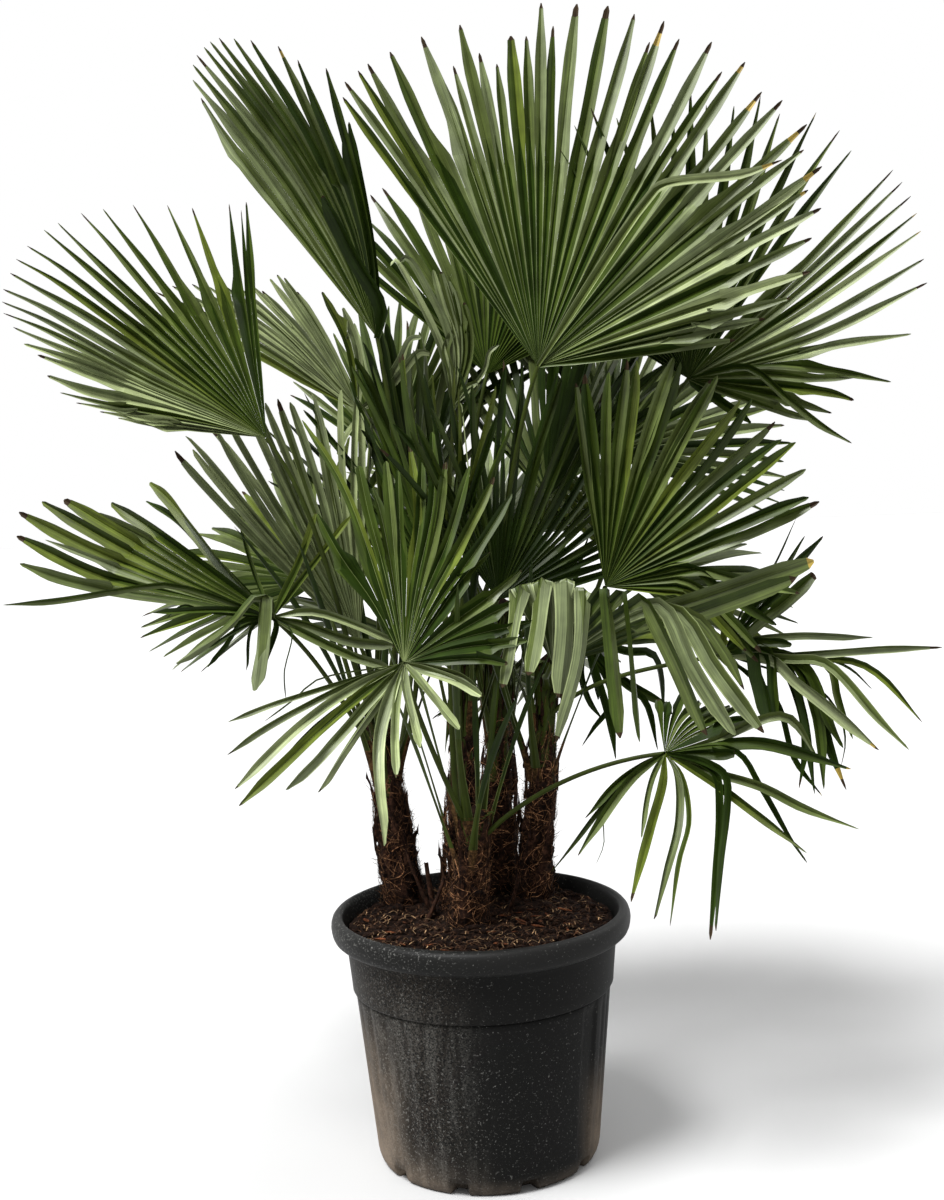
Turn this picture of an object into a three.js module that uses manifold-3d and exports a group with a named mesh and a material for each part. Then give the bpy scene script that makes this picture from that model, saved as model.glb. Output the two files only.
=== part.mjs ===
// Potted multi-stem windmill palm: five fibre-clad stems in one black container, with their fan fronds.
// Units are millimetres and degrees, +Z is up, and the origin is the centre of the container's underside.
// The plant's front faces -Y.

import * as THREE from 'three';
import Module from 'manifold-3d';

const wasm = await Module();
wasm.setup();

// Gap between pieces that touch, and the extra room kept round each leaflet
const CLEARANCE = 0.3;
const LEAFLET_ROOM = 0.5;

// Container: a tapered wall with a wider collar under a rolled lip, and drain slots at the foot
const POT = {
  footRadius: 184, footChamfer: 24, bodyFootRadius: 196,
  shoulderHeight: 305, shoulderRadius: 223, collarFootRadius: 228,
  lipUnderHeight: 386, collarTopRadius: 236, lipUnderRadius: 249,
  lipRadius: 261, height: 437, mouthRadius: 243, wall: 5, floor: 10, sides: 48,
};
const DRAIN = { count: 10, width: 34, height: 16, depth: 30, tilt: 6 };

// Growing medium, filled to just under the lip
const SOIL = { top: 415 };

// Stems: foot is on the soil, tip is hidden among the leaf bases, and both are axis points
const STEMS = {
  stem_left: { foot: [-138, 110], tip: [-172, 110, 805], footRadius: 38, tipRadius: 30 },
  stem_centre_rear: { foot: [-32, 60], tip: [-8, 62, 950], footRadius: 32, tipRadius: 26 },
  stem_front: { foot: [-24, -32], tip: [-4, -34, 610], footRadius: 38, tipRadius: 30 },
  stem_right_rear: { foot: [32, 178], tip: [56, 188, 950], footRadius: 37, tipRadius: 30 },
  stem_right: { foot: [95, 118], tip: [140, 116, 850], footRadius: 33, tipRadius: 28 },
};
const STEM = { sides: 10, rings: 7, flare: 0.2, flareHeight: 45, bulge: 0.05, dome: 18 };

// Fronds, from the top down, first those at the front and sides and then those behind. hub is where the
// leaflets meet the stalk. lean is the blade axis's angle from upright to the right, toward tips that axis
// to the front, and roll turns the blade about it. span is the angle of the first and last leaflet from
// the axis, reach the longest leaflet, and edge how much shorter the first and last are. fold is the
// angle of each half above flat, droop the sag, and snap is [from, to, at, pull, kept] for leaflets that
// hang broken: their angles, the share of their length where they break, how sharply, and how much of
// the length is left. missing is the angles between which the leaflets have been lost.
const FRONDS = {
  frond_top: {
    stem: 'stem_centre_rear', hub: [115, -40, 1380], lean: 28, toward: 0, roll: 0,
    span: [-64, 62], reach: 595, edge: [0.14, 0.28], fold: 5, droop: 0.05, split: 0.42, leaflets: 33,
  },
  frond_upper_right: {
    stem: 'stem_right', hub: [395, 60, 1340], lean: 60, toward: 0, roll: 0,
    span: [-120, 66], reach: 490, edge: [0.6, 0.7], fold: 5, droop: 0.08, split: 0.4, leaflets: 34,
  },
  frond_upper_left: {
    stem: 'stem_left', hub: [-140, 60, 1430], lean: -28, toward: 0, roll: -70,
    span: [-32, 55], reach: 550, edge: [0.05, 0.1], fold: 2, droop: 0.02, split: 0.6, leaflets: 26,
  },
  frond_left: {
    stem: 'stem_left', hub: [-325, -60, 1265], lean: -45, toward: 0, roll: 25,
    span: [-48, 44], reach: 505, edge: [0.5, 0.42], fold: 20, droop: 0.03, split: 0.5, leaflets: 32,
  },
  frond_left_rear: {
    stem: 'stem_left', hub: [-185, 180, 1310], lean: -58, toward: 0, roll: 35,
    span: [-8, 60], reach: 400, edge: [0, 0.5], fold: 10, droop: 0.05, split: 0.4, leaflets: 18,
  },
  frond_grey: {
    stem: 'stem_left', hub: [-195, 60, 900], lean: -22, toward: 0, roll: 10,
    span: [-22, 30], reach: 450, edge: [0, 0.1], fold: 10, droop: 0.05, split: 0.4, leaflets: 20,
  },
  frond_front_left: {
    stem: 'stem_front', hub: [-105, -220, 900], lean: 127, toward: 58, roll: 0,
    span: [-172, 150], reach: 325, edge: [-0.35, -0.1], fold: 5, droop: 0.08, split: 0.38, leaflets: 34,
  },
  frond_front_right: {
    stem: 'stem_right', hub: [130, -200, 890], lean: 22, toward: 12, roll: 180,
    span: [-52, 56], reach: 400, edge: [-0.15, 0.1], fold: 6, droop: 0.02, split: 0.34, leaflets: 20,
    snap: [-40, 60, 0.38, 1.6, 1],
  },
  frond_mid_left: {
    stem: 'stem_left', hub: [-330, -60, 965], lean: -65, toward: 0, roll: 70,
    span: [-160, 100], reach: 460, edge: [0.6, 0.4], fold: 4, droop: 0.02, split: 0.34, leaflets: 36,
    snap: [-115, -26, 0.3, 2.5, 0.42],
  },
  frond_centre: {
    stem: 'stem_centre_rear', hub: [50, 0, 975], lean: 8, toward: 0, roll: 30,
    span: [-45, 40], reach: 400, edge: [0.1, 0.1], fold: 10, droop: 0.05, split: 0.4, leaflets: 22,
  },
  frond_mid_right: {
    stem: 'stem_right', hub: [230, -60, 995], lean: 26, toward: 0, roll: 0,
    span: [-38, 72], reach: 390, edge: [0.1, 0.2], fold: 10, droop: 0.05, split: 0.45, leaflets: 28,
    snap: [48, 80, 0.45, 0.5, 0.9],
  },
  frond_right: {
    stem: 'stem_right', hub: [435, 0, 865], lean: 92, toward: 10, roll: 0,
    span: [-66, 66], reach: 385, edge: [0.4, 0.15], fold: 5, droop: 0.06, split: 0.3, leaflets: 26,
    snap: [6, 80, 0.34, 0.5, 1], missing: [-46, -12],
  },
  frond_low_right: {
    stem: 'stem_front', hub: [315, -120, 720], lean: 115, toward: 30, roll: 0,
    span: [-150, 105], reach: 330, edge: [0.5, 0.1], fold: 5, droop: 0.2, split: 0.2, leaflets: 30,
    missing: [12, 50],
  },
  frond_centre_left: {
    stem: 'stem_front', hub: [-45, 30, 985], lean: -14, toward: 0, roll: -35,
    span: [-50, 45], reach: 420, edge: [0.1, 0.1], fold: 10, droop: 0.05, split: 0.4, leaflets: 24,
  },
  frond_low_inner: {
    stem: 'stem_right_rear', hub: [205, 110, 890], lean: 150, toward: 0, roll: 20,
    span: [-60, 60], reach: 200, edge: [0.2, 0.2], fold: 10, droop: 0.15, split: 0.3, leaflets: 16,
  },
  frond_silver: {
    stem: 'stem_right_rear', hub: [-15, 170, 1310], lean: -22, toward: 0, roll: 150,
    span: [-45, 45], reach: 330, edge: [0.1, 0.2], fold: 10, droop: 0.05, split: 0.4, leaflets: 22,
    snap: [-50, 0, 0.5, 1.2, 0.9],
  },
  frond_inner_left: {
    stem: 'stem_left', hub: [-95, 150, 1130], lean: -6, toward: -5, roll: 55,
    span: [-60, 60], reach: 360, edge: [0.1, 0.1], fold: 10, droop: 0.05, split: 0.4, leaflets: 24,
  },
  frond_inner_right: {
    stem: 'stem_right_rear', hub: [150, 170, 1140], lean: 14, toward: -8, roll: -50,
    span: [-60, 60], reach: 360, edge: [0.1, 0.1], fold: 10, droop: 0.05, split: 0.4, leaflets: 24,
  },
  frond_rear_top: {
    stem: 'stem_right_rear', hub: [50, 270, 1370], lean: -4, toward: -25, roll: 0,
    span: [-75, 75], reach: 480, edge: [0.2, 0.2], fold: 8, droop: 0.05, split: 0.42, leaflets: 30,
  },
  frond_rear_top_left: {
    stem: 'stem_left', hub: [-140, 330, 1210], lean: -20, toward: -42, roll: 0,
    span: [-80, 80], reach: 430, edge: [0.2, 0.2], fold: 8, droop: 0.08, split: 0.4, leaflets: 28,
  },
  frond_rear_top_right: {
    stem: 'stem_right_rear', hub: [270, 330, 1210], lean: 35, toward: -38, roll: 0,
    span: [-80, 80], reach: 430, edge: [0.2, 0.2], fold: 8, droop: 0.08, split: 0.4, leaflets: 28,
  },
  frond_rear_left: {
    stem: 'stem_left', hub: [-290, 310, 990], lean: -50, toward: -50, roll: 20,
    span: [-100, 100], reach: 400, edge: [0.3, 0.3], fold: 6, droop: 0.12, split: 0.4, leaflets: 30,
  },
  frond_rear_mid: {
    stem: 'stem_centre_rear', hub: [40, 430, 1060], lean: 0, toward: -65, roll: 0,
    span: [-100, 100], reach: 430, edge: [0.3, 0.3], fold: 6, droop: 0.12, split: 0.4, leaflets: 32,
  },
  frond_rear_right: {
    stem: 'stem_right_rear', hub: [330, 360, 960], lean: 60, toward: -50, roll: -20,
    span: [-100, 100], reach: 380, edge: [0.3, 0.3], fold: 6, droop: 0.15, split: 0.4, leaflets: 30,
  },
  frond_rear_low_left: {
    stem: 'stem_left', hub: [-110, 430, 850], lean: -160, toward: -75, roll: 180,
    span: [-120, 120], reach: 360, edge: [0.3, 0.3], fold: 4, droop: 0.15, split: 0.35, leaflets: 30,
  },
  frond_rear_low_right: {
    stem: 'stem_right_rear', hub: [190, 470, 800], lean: 160, toward: -75, roll: 180,
    span: [-120, 120], reach: 340, edge: [0.3, 0.3], fold: 4, droop: 0.2, split: 0.35, leaflets: 28,
  },
};

// Blade and stalk: leaflets of the solids as a share of the real count, and thicknesses
const NO_SNAP = [1, 0, 0, 0, 1];
const NONE_LOST = [1, 0];
const BLADE = {
  share: 0.6, knobRadius: 11, hubThickness: 10, ribThickness: 6, midWidth: 0.4, midShare: 0.55, foldBeyond: 0.06,
};
const STALK = {
  radius: 7, hubRadius: 6, sides: 5, rings: 6, spacing: 24, lowest: 40, bows: 12, bow: 14,
};

const UP = new THREE.Vector3(0, 0, 1);
const FRONT = new THREE.Vector3(0, -1, 0);
const radians = THREE.MathUtils.degToRad;
const vector = (point) => new THREE.Vector3(...point);
const along = (from, direction, distance) => from.clone().addScaledVector(direction, distance);

// A repeatable number between -1 and 1 for each leaflet
function scatter(frond, leaflet, use) {
  const wave = Math.sin(frond * 12.9898 + leaflet * 78.233 + use * 37.719) * 43758.5453;
  return 2 * (wave - Math.floor(wave)) - 1;
}

// Solids and meshes

function solidFrom({ points, faces }) {
  const mesh = new wasm.Mesh({
    numProp: 3,
    vertProperties: new Float32Array(points.flatMap((point) => point.toArray())),
    triVerts: new Uint32Array(faces.flat()),
  });
  mesh.merge();
  return new wasm.Manifold(mesh);
}

function geometryFrom(solid) {
  const { vertProperties, triVerts } = solid.getMesh();
  const geometry = new THREE.BufferGeometry();
  geometry.setAttribute('position', new THREE.BufferAttribute(Float32Array.from(vertProperties), 3));
  geometry.setIndex(new THREE.BufferAttribute(Uint32Array.from(triVerts), 1));
  return geometry;
}

function triples(flat) {
  return Array.from({ length: flat.length / 3 }, (_, k) => [...flat.slice(3 * k, 3 * k + 3)]);
}

function shapeFrom(positions, corners) {
  return { points: triples(positions).map(vector), faces: triples(corners) };
}

function shapeOf(solid) {
  const { vertProperties, triVerts } = solid.getMesh();
  return shapeFrom(vertProperties, triVerts);
}

function solidFromGeometry(geometry) {
  return solidFrom(shapeFrom(geometry.getAttribute('position').array, geometry.index.array));
}

// A closed tapering limb along a line of points, with one radius for each point
function limb(line, radii, sides) {
  const points = [];
  const faces = [];
  const start = line[1].clone().sub(line[0]).normalize();
  const side = new THREE.Vector3().crossVectors(start, Math.abs(start.z) > 0.9 ? FRONT : UP).normalize();
  line.forEach((centre, ring) => {
    const before = line[Math.max(ring - 1, 0)];
    const after = line[Math.min(ring + 1, line.length - 1)];
    const ahead = after.clone().sub(before).normalize();
    side.addScaledVector(ahead, -side.dot(ahead)).normalize();
    const across = new THREE.Vector3().crossVectors(ahead, side);
    for (let k = 0; k < sides; k += 1) {
      const turn = (2 * Math.PI * k) / sides;
      const radius = radii[ring];
      points.push(along(along(centre, side, radius * Math.cos(turn)), across, radius * Math.sin(turn)));
    }
  });
  for (let ring = 0; ring < line.length - 1; ring += 1) {
    for (let k = 0; k < sides; k += 1) {
      const a = ring * sides + k;
      const b = ring * sides + ((k + 1) % sides);
      faces.push([a, b, b + sides], [a, b + sides, a + sides]);
    }
  }
  const last = (line.length - 1) * sides;
  for (let k = 1; k < sides - 1; k += 1) {
    faces.push([0, k + 1, k], [last, last + k, last + k + 1]);
  }
  return { points, faces };
}

// Which solids are already in place, kept as boxed triangles, so that a new piece can be tested against them

const placed = [];

function boxedFaces({ points, faces }) {
  const box = new THREE.Box3().setFromPoints(points);
  const triangles = faces.map(([a, b, c]) => {
    const corners = [points[a], points[b], points[c]];
    return { corners, box: new THREE.Box3().setFromPoints(corners) };
  });
  return { box, triangles };
}

function place(owner, solid) {
  placed.push({ owner, ...boxedFaces(solid) });
}

function edgeCrosses(one, other) {
  const ray = new THREE.Ray();
  const hit = new THREE.Vector3();
  return one.corners.some((from, k) => {
    const to = one.corners[(k + 1) % 3];
    ray.set(from, to.clone().sub(from).normalize());
    const found = ray.intersectTriangle(...other.corners, false, hit);
    return found !== null && hit.distanceTo(from) <= from.distanceTo(to);
  });
}

function meets(owner, solid) {
  const probe = boxedFaces(solid);
  return placed.some((piece) => piece.owner !== owner && piece.box.intersectsBox(probe.box)
    && piece.triangles.some((face) => face.box.intersectsBox(probe.box)
      && probe.triangles.some((mine) => mine.box.intersectsBox(face.box)
        && (edgeCrosses(mine, face) || edgeCrosses(face, mine)))));
}

// Container and soil

function wallRadiusAt(height) {
  const { bodyFootRadius, footChamfer, shoulderRadius, shoulderHeight } = POT;
  const { collarTopRadius, lipUnderHeight } = POT;
  if (height < shoulderHeight) {
    return THREE.MathUtils.mapLinear(height, footChamfer, shoulderHeight, bodyFootRadius, shoulderRadius);
  }
  const collarFoot = shoulderRadius + 3;
  return THREE.MathUtils.mapLinear(height, shoulderHeight, lipUnderHeight, collarFoot, collarTopRadius);
}

function innerRadiusAt(height) {
  return wallRadiusAt(height) - POT.wall;
}

function lathe(profile, sides) {
  const outline = profile.map(([radius, height]) => new THREE.Vector2(radius, height));
  const geometry = new THREE.LatheGeometry(outline, sides);
  geometry.rotateX(Math.PI / 2);
  geometry.deleteAttribute('normal');
  geometry.deleteAttribute('uv');
  return solidFromGeometry(geometry);
}

function potSolid() {
  const { footRadius, footChamfer, bodyFootRadius, shoulderHeight, shoulderRadius, collarFootRadius } = POT;
  const { lipUnderHeight, collarTopRadius, lipUnderRadius, lipRadius, height, mouthRadius, floor } = POT;
  const profile = [
    [0, 0], [footRadius, 0], [bodyFootRadius, footChamfer], [shoulderRadius, shoulderHeight],
    [collarFootRadius, shoulderHeight + 7], [collarTopRadius, lipUnderHeight],
    [lipUnderRadius, lipUnderHeight], [lipRadius - 2, lipUnderHeight + 14], [lipRadius, height - 20],
    [lipRadius - 5, height - 4], [lipRadius - 12, height], [mouthRadius, height - 2],
    [mouthRadius - 5, height - 14], [innerRadiusAt(lipUnderHeight), lipUnderHeight],
    [innerRadiusAt(shoulderHeight + 1), shoulderHeight], [innerRadiusAt(footChamfer), footChamfer],
    [innerRadiusAt(footChamfer) - 8, floor], [0, floor],
  ];
  let pot = lathe(profile, POT.sides);
  for (let k = 0; k < DRAIN.count; k += 1) {
    const slot = new THREE.BoxGeometry(DRAIN.depth, DRAIN.width, DRAIN.height);
    slot.deleteAttribute('normal');
    slot.deleteAttribute('uv');
    slot.translate(bodyFootRadius, 0, DRAIN.height / 2 + 1.5 * floor - DRAIN.height);
    slot.rotateZ(radians(DRAIN.tilt) + (2 * Math.PI * k) / DRAIN.count);
    pot = pot.subtract(solidFromGeometry(slot));
  }
  return pot;
}

function soilSolid() {
  const bottom = POT.floor + CLEARANCE;
  const profile = [
    [0, bottom],
    [innerRadiusAt(POT.footChamfer) - 8 - CLEARANCE, bottom],
    [innerRadiusAt(POT.footChamfer) - CLEARANCE, POT.footChamfer],
    [innerRadiusAt(POT.shoulderHeight - 1) - 2 * CLEARANCE, POT.shoulderHeight],
    [innerRadiusAt(POT.lipUnderHeight) - 4 * CLEARANCE, POT.lipUnderHeight],
    [innerRadiusAt(POT.lipUnderHeight) - 4 * CLEARANCE, SOIL.top],
    [0, SOIL.top],
  ];
  return lathe(profile, POT.sides);
}

// Stems: a flared foot flat on the soil, a slow taper, and a rounded top

function stemShape({ foot, tip, footRadius, tipRadius }, grow) {
  const bottom = new THREE.Vector3(...foot, SOIL.top + CLEARANCE);
  const top = vector(tip);
  const line = [];
  const radii = [];
  for (let ring = 0; ring < STEM.rings; ring += 1) {
    const share = (ring / (STEM.rings - 1)) ** 1.5;
    const height = share * (top.z - bottom.z);
    const flare = 1 + STEM.flare * Math.exp(-height / STEM.flareHeight) + STEM.bulge * (ring % 2);
    line.push(bottom.clone().lerp(top, share));
    radii.push(THREE.MathUtils.lerp(footRadius, tipRadius, share) * flare + grow);
  }
  line.push(along(top, UP, STEM.dome), along(top, UP, STEM.dome * 1.4 + grow));
  radii.push(tipRadius * 0.6 + grow, tipRadius * 0.2 + grow);
  const shape = limb(line, radii, STEM.sides);
  shape.points.slice(0, STEM.sides).forEach((point) => point.setZ(bottom.z));
  return shape;
}

// Fronds

function bladeFrame({ lean, toward, roll }) {
  const right = radians(lean);
  const front = radians(toward);
  const turn = radians(roll);
  const axis = new THREE.Vector3(
    Math.sin(right) * Math.cos(front),
    -Math.sin(front),
    Math.cos(right) * Math.cos(front),
  );
  const face = FRONT.clone().addScaledVector(axis, -FRONT.dot(axis)).normalize();
  const side = new THREE.Vector3().crossVectors(axis, face);
  return {
    axis,
    side: side.clone().multiplyScalar(Math.cos(turn)).addScaledVector(face, -Math.sin(turn)),
    face: face.clone().multiplyScalar(Math.cos(turn)).addScaledVector(side, Math.sin(turn)),
  };
}

// The line of one leaflet from the hub to its tip. portion runs from 0 to 1 across the blade.
function leafletLine(frond, number, leaflet, portion) {
  const { axis, side, face } = bladeFrame(frond);
  const angle = THREE.MathUtils.lerp(...frond.span, portion);
  const theta = radians(angle);
  const lift = Math.abs(Math.sin(theta)) * Math.sin(radians(frond.fold));
  const heading = axis.clone().multiplyScalar(Math.cos(theta))
    .addScaledVector(side, Math.sin(theta) * Math.cos(radians(frond.fold)))
    .addScaledVector(face, lift)
    .normalize();
  const across = 2 * portion - 1;
  const edge = across > 0 ? frond.edge[1] : frond.edge[0];
  const [snapFrom, snapTo, snapAt, snapPull, kept] = frond.snap ?? NO_SNAP;
  const snapped = angle >= snapFrom && angle <= snapTo;
  const whole = frond.reach * (1 - edge * across ** 2) * (1 + 0.04 * scatter(number, leaflet, 2));
  const length = whole * (snapped ? kept : 1);
  const steps = 10;
  const breakAt = snapAt * (1 + 0.12 * scatter(number, leaflet, 3));
  const line = [vector(frond.hub)];
  for (let step = 0; step < steps; step += 1) {
    const share = (step + 0.5) / steps;
    const breaks = snapped && share >= breakAt && share < breakAt + 0.16;
    heading.addScaledVector(UP, -(2 * frond.droop * share) / steps - (breaks ? snapPull : 0)).normalize();
    line.push(along(line[step], heading, length / steps));
  }
  const [lostFrom, lostTo] = frond.missing ?? NONE_LOST;
  return { line, snapped, breakAt, lost: angle >= lostFrom && angle <= lostTo };
}

function pointOn(line, share) {
  const step = Math.min(share * (line.length - 1), line.length - 1.001);
  const whole = Math.floor(step);
  return line[whole].clone().lerp(line[whole + 1], step - whole);
}

// One leaflet as a closed solid: flat above, keeled below, fused with its neighbours from the hub to the two
// notches, then free to its tip. reach shortens the free part, and grow thickens the whole for a room test.
function leafletSolid(frond, leaf, notches, reach, grow) {
  const { face } = bladeFrame(frond);
  const hub = vector(frond.hub);
  const [left, right] = notches;
  const share = frond.split + (1 - frond.split) * reach;
  const midShare = leaf.snapped
    ? Math.min(leaf.breakAt + BLADE.foldBeyond + 0.1, share * 0.9)
    : frond.split + (share - frond.split) * BLADE.midShare;
  const middle = pointOn(leaf.line, midShare);
  const tip = pointOn(leaf.line, share);
  const width = right.clone().sub(left);
  const out = middle.clone().sub(pointOn(leaf.line, midShare - 0.05)).normalize();
  const sideways = width.clone().addScaledVector(out, -width.dot(out)).normalize();
  const above = new THREE.Vector3().crossVectors(sideways, out);
  const half = BLADE.midWidth * width.length() + grow;
  const rib = BLADE.ribThickness + grow;
  const wide = width.clone().normalize();
  const points = [
    along(hub, face, BLADE.hubThickness / 2 + grow),
    along(hub, face, -BLADE.hubThickness / 2 - grow),
    along(along(left, wide, -grow), face, grow),
    along(along(right, wide, grow), face, grow),
    along(left.clone().lerp(right, 0.5), face, -rib),
    along(along(middle, sideways, -half), above, grow),
    along(along(middle, sideways, half), above, grow),
    along(middle, above, -rib * 0.8),
    along(tip, out, grow),
  ];
  const faces = [
    [0, 3, 2], [1, 2, 4], [1, 4, 3], [0, 2, 1], [0, 1, 3],
    [2, 3, 6], [2, 6, 5], [2, 5, 7], [2, 7, 4], [4, 7, 6], [4, 6, 3],
    [5, 6, 8], [5, 8, 7], [7, 8, 6],
  ];
  return { points, faces };
}

function stalkLine(frond, rank, bow) {
  const stem = STEMS[frond.stem];
  const foot = new THREE.Vector3(...stem.foot, SOIL.top);
  const top = vector(stem.tip);
  const hub = vector(frond.hub);
  const start = along(top, top.clone().sub(foot).normalize(), -STALK.lowest - rank * STALK.spacing);
  const { axis } = bladeFrame(frond);
  const straight = hub.clone().sub(start);
  const length = straight.length();
  const outward = straight.clone().setZ(0).normalize();
  const rise = UP.clone().multiplyScalar(1.2).add(outward).normalize();
  const arrive = straight.clone().normalize().multiplyScalar(1.5).add(axis).normalize();
  const sideways = new THREE.Vector3().crossVectors(straight, UP).normalize();
  const curve = new THREE.CubicBezierCurve3(
    start,
    along(along(start, rise, length / 3), sideways, bow),
    along(along(hub, arrive, -length / 3), sideways, bow),
    hub,
  );
  return curve.getPoints(STALK.rings - 1);
}

function stalkShape(frond, rank, bow, grow) {
  const line = stalkLine(frond, rank, bow);
  const last = line.length - 1;
  const radii = line.map((point, k) => THREE.MathUtils.lerp(STALK.radius, STALK.hubRadius, k / last) + grow);
  return limb(line, radii, STALK.sides);
}

// The first bow, to one side and then the other, at which the stalk clears every other stalk and stem
function clearStalk(name, frond, rank) {
  for (let attempt = 0; attempt < STALK.bows; attempt += 1) {
    const bow = STALK.bow * Math.ceil(attempt / 2) * (attempt % 2 ? 1 : -1);
    const probe = stalkShape(frond, rank, bow, LEAFLET_ROOM);
    if (!meets(frond.stem, probe)) {
      return stalkShape(frond, rank, bow, 0);
    }
  }
  throw new Error(`no clear way for the stalk of ${name}`);
}

function frondLeaflets(name, frond, number) {
  const count = Math.max(6, Math.round(frond.leaflets * BLADE.share));
  const lines = [];
  for (let leaflet = 0; leaflet < count; leaflet += 1) {
    lines.push(leafletLine(frond, number, leaflet, (leaflet + 0.5) / count));
  }
  const ribs = lines.map(({ line }) => pointOn(line, frond.split));
  const notches = ribs.slice(1).map((rib, k) => rib.clone().lerp(ribs[k], 0.5));
  notches.unshift(ribs[0].clone().multiplyScalar(1.5).addScaledVector(ribs[1], -0.5));
  notches.push(ribs[count - 1].clone().multiplyScalar(1.5).addScaledVector(ribs[count - 2], -0.5));
  const solids = [];
  lines.forEach((leaf, leaflet) => {
    const sides = [notches[leaflet], notches[leaflet + 1]];
    const reach = [1, 0.8, 0.6, 0.4, 0.2].find((share) => (
      !leaf.lost && !meets(name, leafletSolid(frond, leaf, sides, share, LEAFLET_ROOM))
    ));
    if (reach !== undefined) {
      solids.push(leafletSolid(frond, leaf, sides, reach, 0));
    }
  });
  return solids;
}

// The plant

function material(color, roughness, metalness = 0) {
  return new THREE.MeshStandardMaterial({ color, roughness, metalness });
}

const COLORS = { pot: 0x26282a, soil: 0x3a2a20, stem: 0x4a3628, frond: 0x3f5a24 };

const palm = new THREE.Group();

function addPiece(name, solid, finish) {
  const piece = new THREE.Mesh(geometryFrom(solid), finish);
  piece.name = name;
  palm.add(piece);
}

const pot = potSolid();
place('pot', shapeOf(pot));
addPiece('pot', pot, material(COLORS.pot, 0.6));

const soil = soilSolid();
place('soil', shapeOf(soil));
addPiece('soil', soil, material(COLORS.soil, 1));

const stemRooms = {};
for (const [name, stem] of Object.entries(STEMS)) {
  const shape = stemShape(stem, 0);
  stemRooms[name] = solidFrom(stemShape(stem, CLEARANCE / Math.cos(Math.PI / STEM.sides)));
  place(name, shape);
  addPiece(name, solidFrom(shape), material(COLORS.stem, 0.95));
}

const stalks = {};
const ranks = {};
for (const [name, frond] of Object.entries(FRONDS)) {
  const rank = ranks[frond.stem] ?? 0;
  ranks[frond.stem] = rank + 1;
  stalks[name] = clearStalk(name, frond, rank);
  place(name, stalks[name]);
}

Object.entries(FRONDS).forEach(([name, frond], number) => {
  const leaflets = frondLeaflets(name, frond, number);
  const stalk = solidFrom(stalks[name]).subtract(stemRooms[frond.stem]);
  const knob = new THREE.SphereGeometry(BLADE.knobRadius, 6, 3).translate(...frond.hub);
  const core = stalk.add(solidFromGeometry(knob));
  const whole = leaflets.reduce((sum, leaflet) => sum.add(solidFrom(leaflet)), core);
  leaflets.forEach((leaflet) => place(name, leaflet));
  addPiece(name, whole, material(COLORS.frond, 0.55));
});

export default palm;
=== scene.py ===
"""Potted windmill palm: a container, its soil, five fibre-clad stems and a crown of fan fronds.

Lengths are in metres, +Z is up, and the plant's front faces -Y.
"""

import math

import bpy
import numpy as np
from bpy.props import FloatProperty, FloatVectorProperty, IntProperty, PointerProperty
from mathutils import Matrix, Vector


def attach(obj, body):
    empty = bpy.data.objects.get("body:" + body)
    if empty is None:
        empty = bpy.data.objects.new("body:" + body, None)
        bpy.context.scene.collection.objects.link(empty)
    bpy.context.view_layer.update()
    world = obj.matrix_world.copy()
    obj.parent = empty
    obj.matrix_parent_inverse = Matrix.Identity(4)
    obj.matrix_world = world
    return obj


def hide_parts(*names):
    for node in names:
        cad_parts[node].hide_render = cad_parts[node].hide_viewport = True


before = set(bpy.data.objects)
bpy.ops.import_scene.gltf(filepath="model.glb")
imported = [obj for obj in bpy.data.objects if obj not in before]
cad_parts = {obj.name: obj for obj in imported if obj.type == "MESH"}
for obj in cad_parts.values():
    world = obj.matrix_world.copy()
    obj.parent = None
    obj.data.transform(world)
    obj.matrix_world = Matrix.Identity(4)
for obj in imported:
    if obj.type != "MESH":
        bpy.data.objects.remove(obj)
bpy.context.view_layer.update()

bl_info = {
    "name": "Potted Windmill Palm",
    "version": (1, 0, 0),
    "blender": (4, 5, 0),
    "location": "3D View > Sidebar > Palm",
    "description": "Builds a potted multi-stem windmill palm over its solids",
    "category": "Object",
}

UP = np.array([0.0, 0.0, 1.0])
FRONT = np.array([0.0, -1.0, 0.0])
TURN = 2 * math.pi

# Container: outline radii and heights. The collar's edge is rounded from collar_foot to collar_start.
POT = dict(
    foot_radius=0.184, body_foot_radius=0.196, foot_height=0.024, shoulder_height=0.304,
    shoulder_radius=0.223, collar_foot=0.309, collar_start=0.312, collar_radius=0.228,
    collar_top_radius=0.236, height=0.437, mouth_radius=0.243, mouth_height=0.4355,
)
# The height of the lip's lower edge, and its row in the outline
LIP_UNDER = 0.395
LIP_ROW = 40
# Radius and height along the rounded foot, the step below the collar, the rolled lip and the inside
FOOT_EDGE = ((0.1892, 0.004), (0.1925, 0.010), (0.1945, 0.016))
COLLAR_STEP = ((0.2195, 0.3046), (0.2262, 0.3058))
ROLLED_LIP = (
    (0.2370, LIP_UNDER), (0.2490, LIP_UNDER - 0.0005), (0.2530, 0.3965), (0.2568, 0.4000), (0.2590, 0.4050),
    (0.2603, 0.4110), (0.2610, 0.4175), (0.2604, 0.4240), (0.2585, 0.4300), (0.2550, 0.4342),
    (0.2510, 0.4362),
)
INSIDE = ((0.2405, 0.4320), (0.2385, 0.4240), (0.2345, 0.4120), (0.2325, 0.4000), (0.2312, 0.3700))
# How much the container is out of round, as a share of its radius, half the depth of the flutes in its wall
# and the depth of its plain strips
POT_UNEVEN = 0.0006
FLUTE_DEPTH = 0.0015
STRIP_DEPTH = 0.0045
# The pale grey of the marks on its plastic
POT_MARK = (0.14, 0.14, 0.13, 1.0)
# Drain openings at the foot. tilt is the first one's bearing in degrees, depth how far they are sunk, radius
# where their width is measured, and only what lies outside inner_radius is sunk.
DRAIN = dict(count=10, half_width=0.014, height=0.017, tilt=2, depth=0.022, radius=0.19, inner_radius=0.17)

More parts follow.
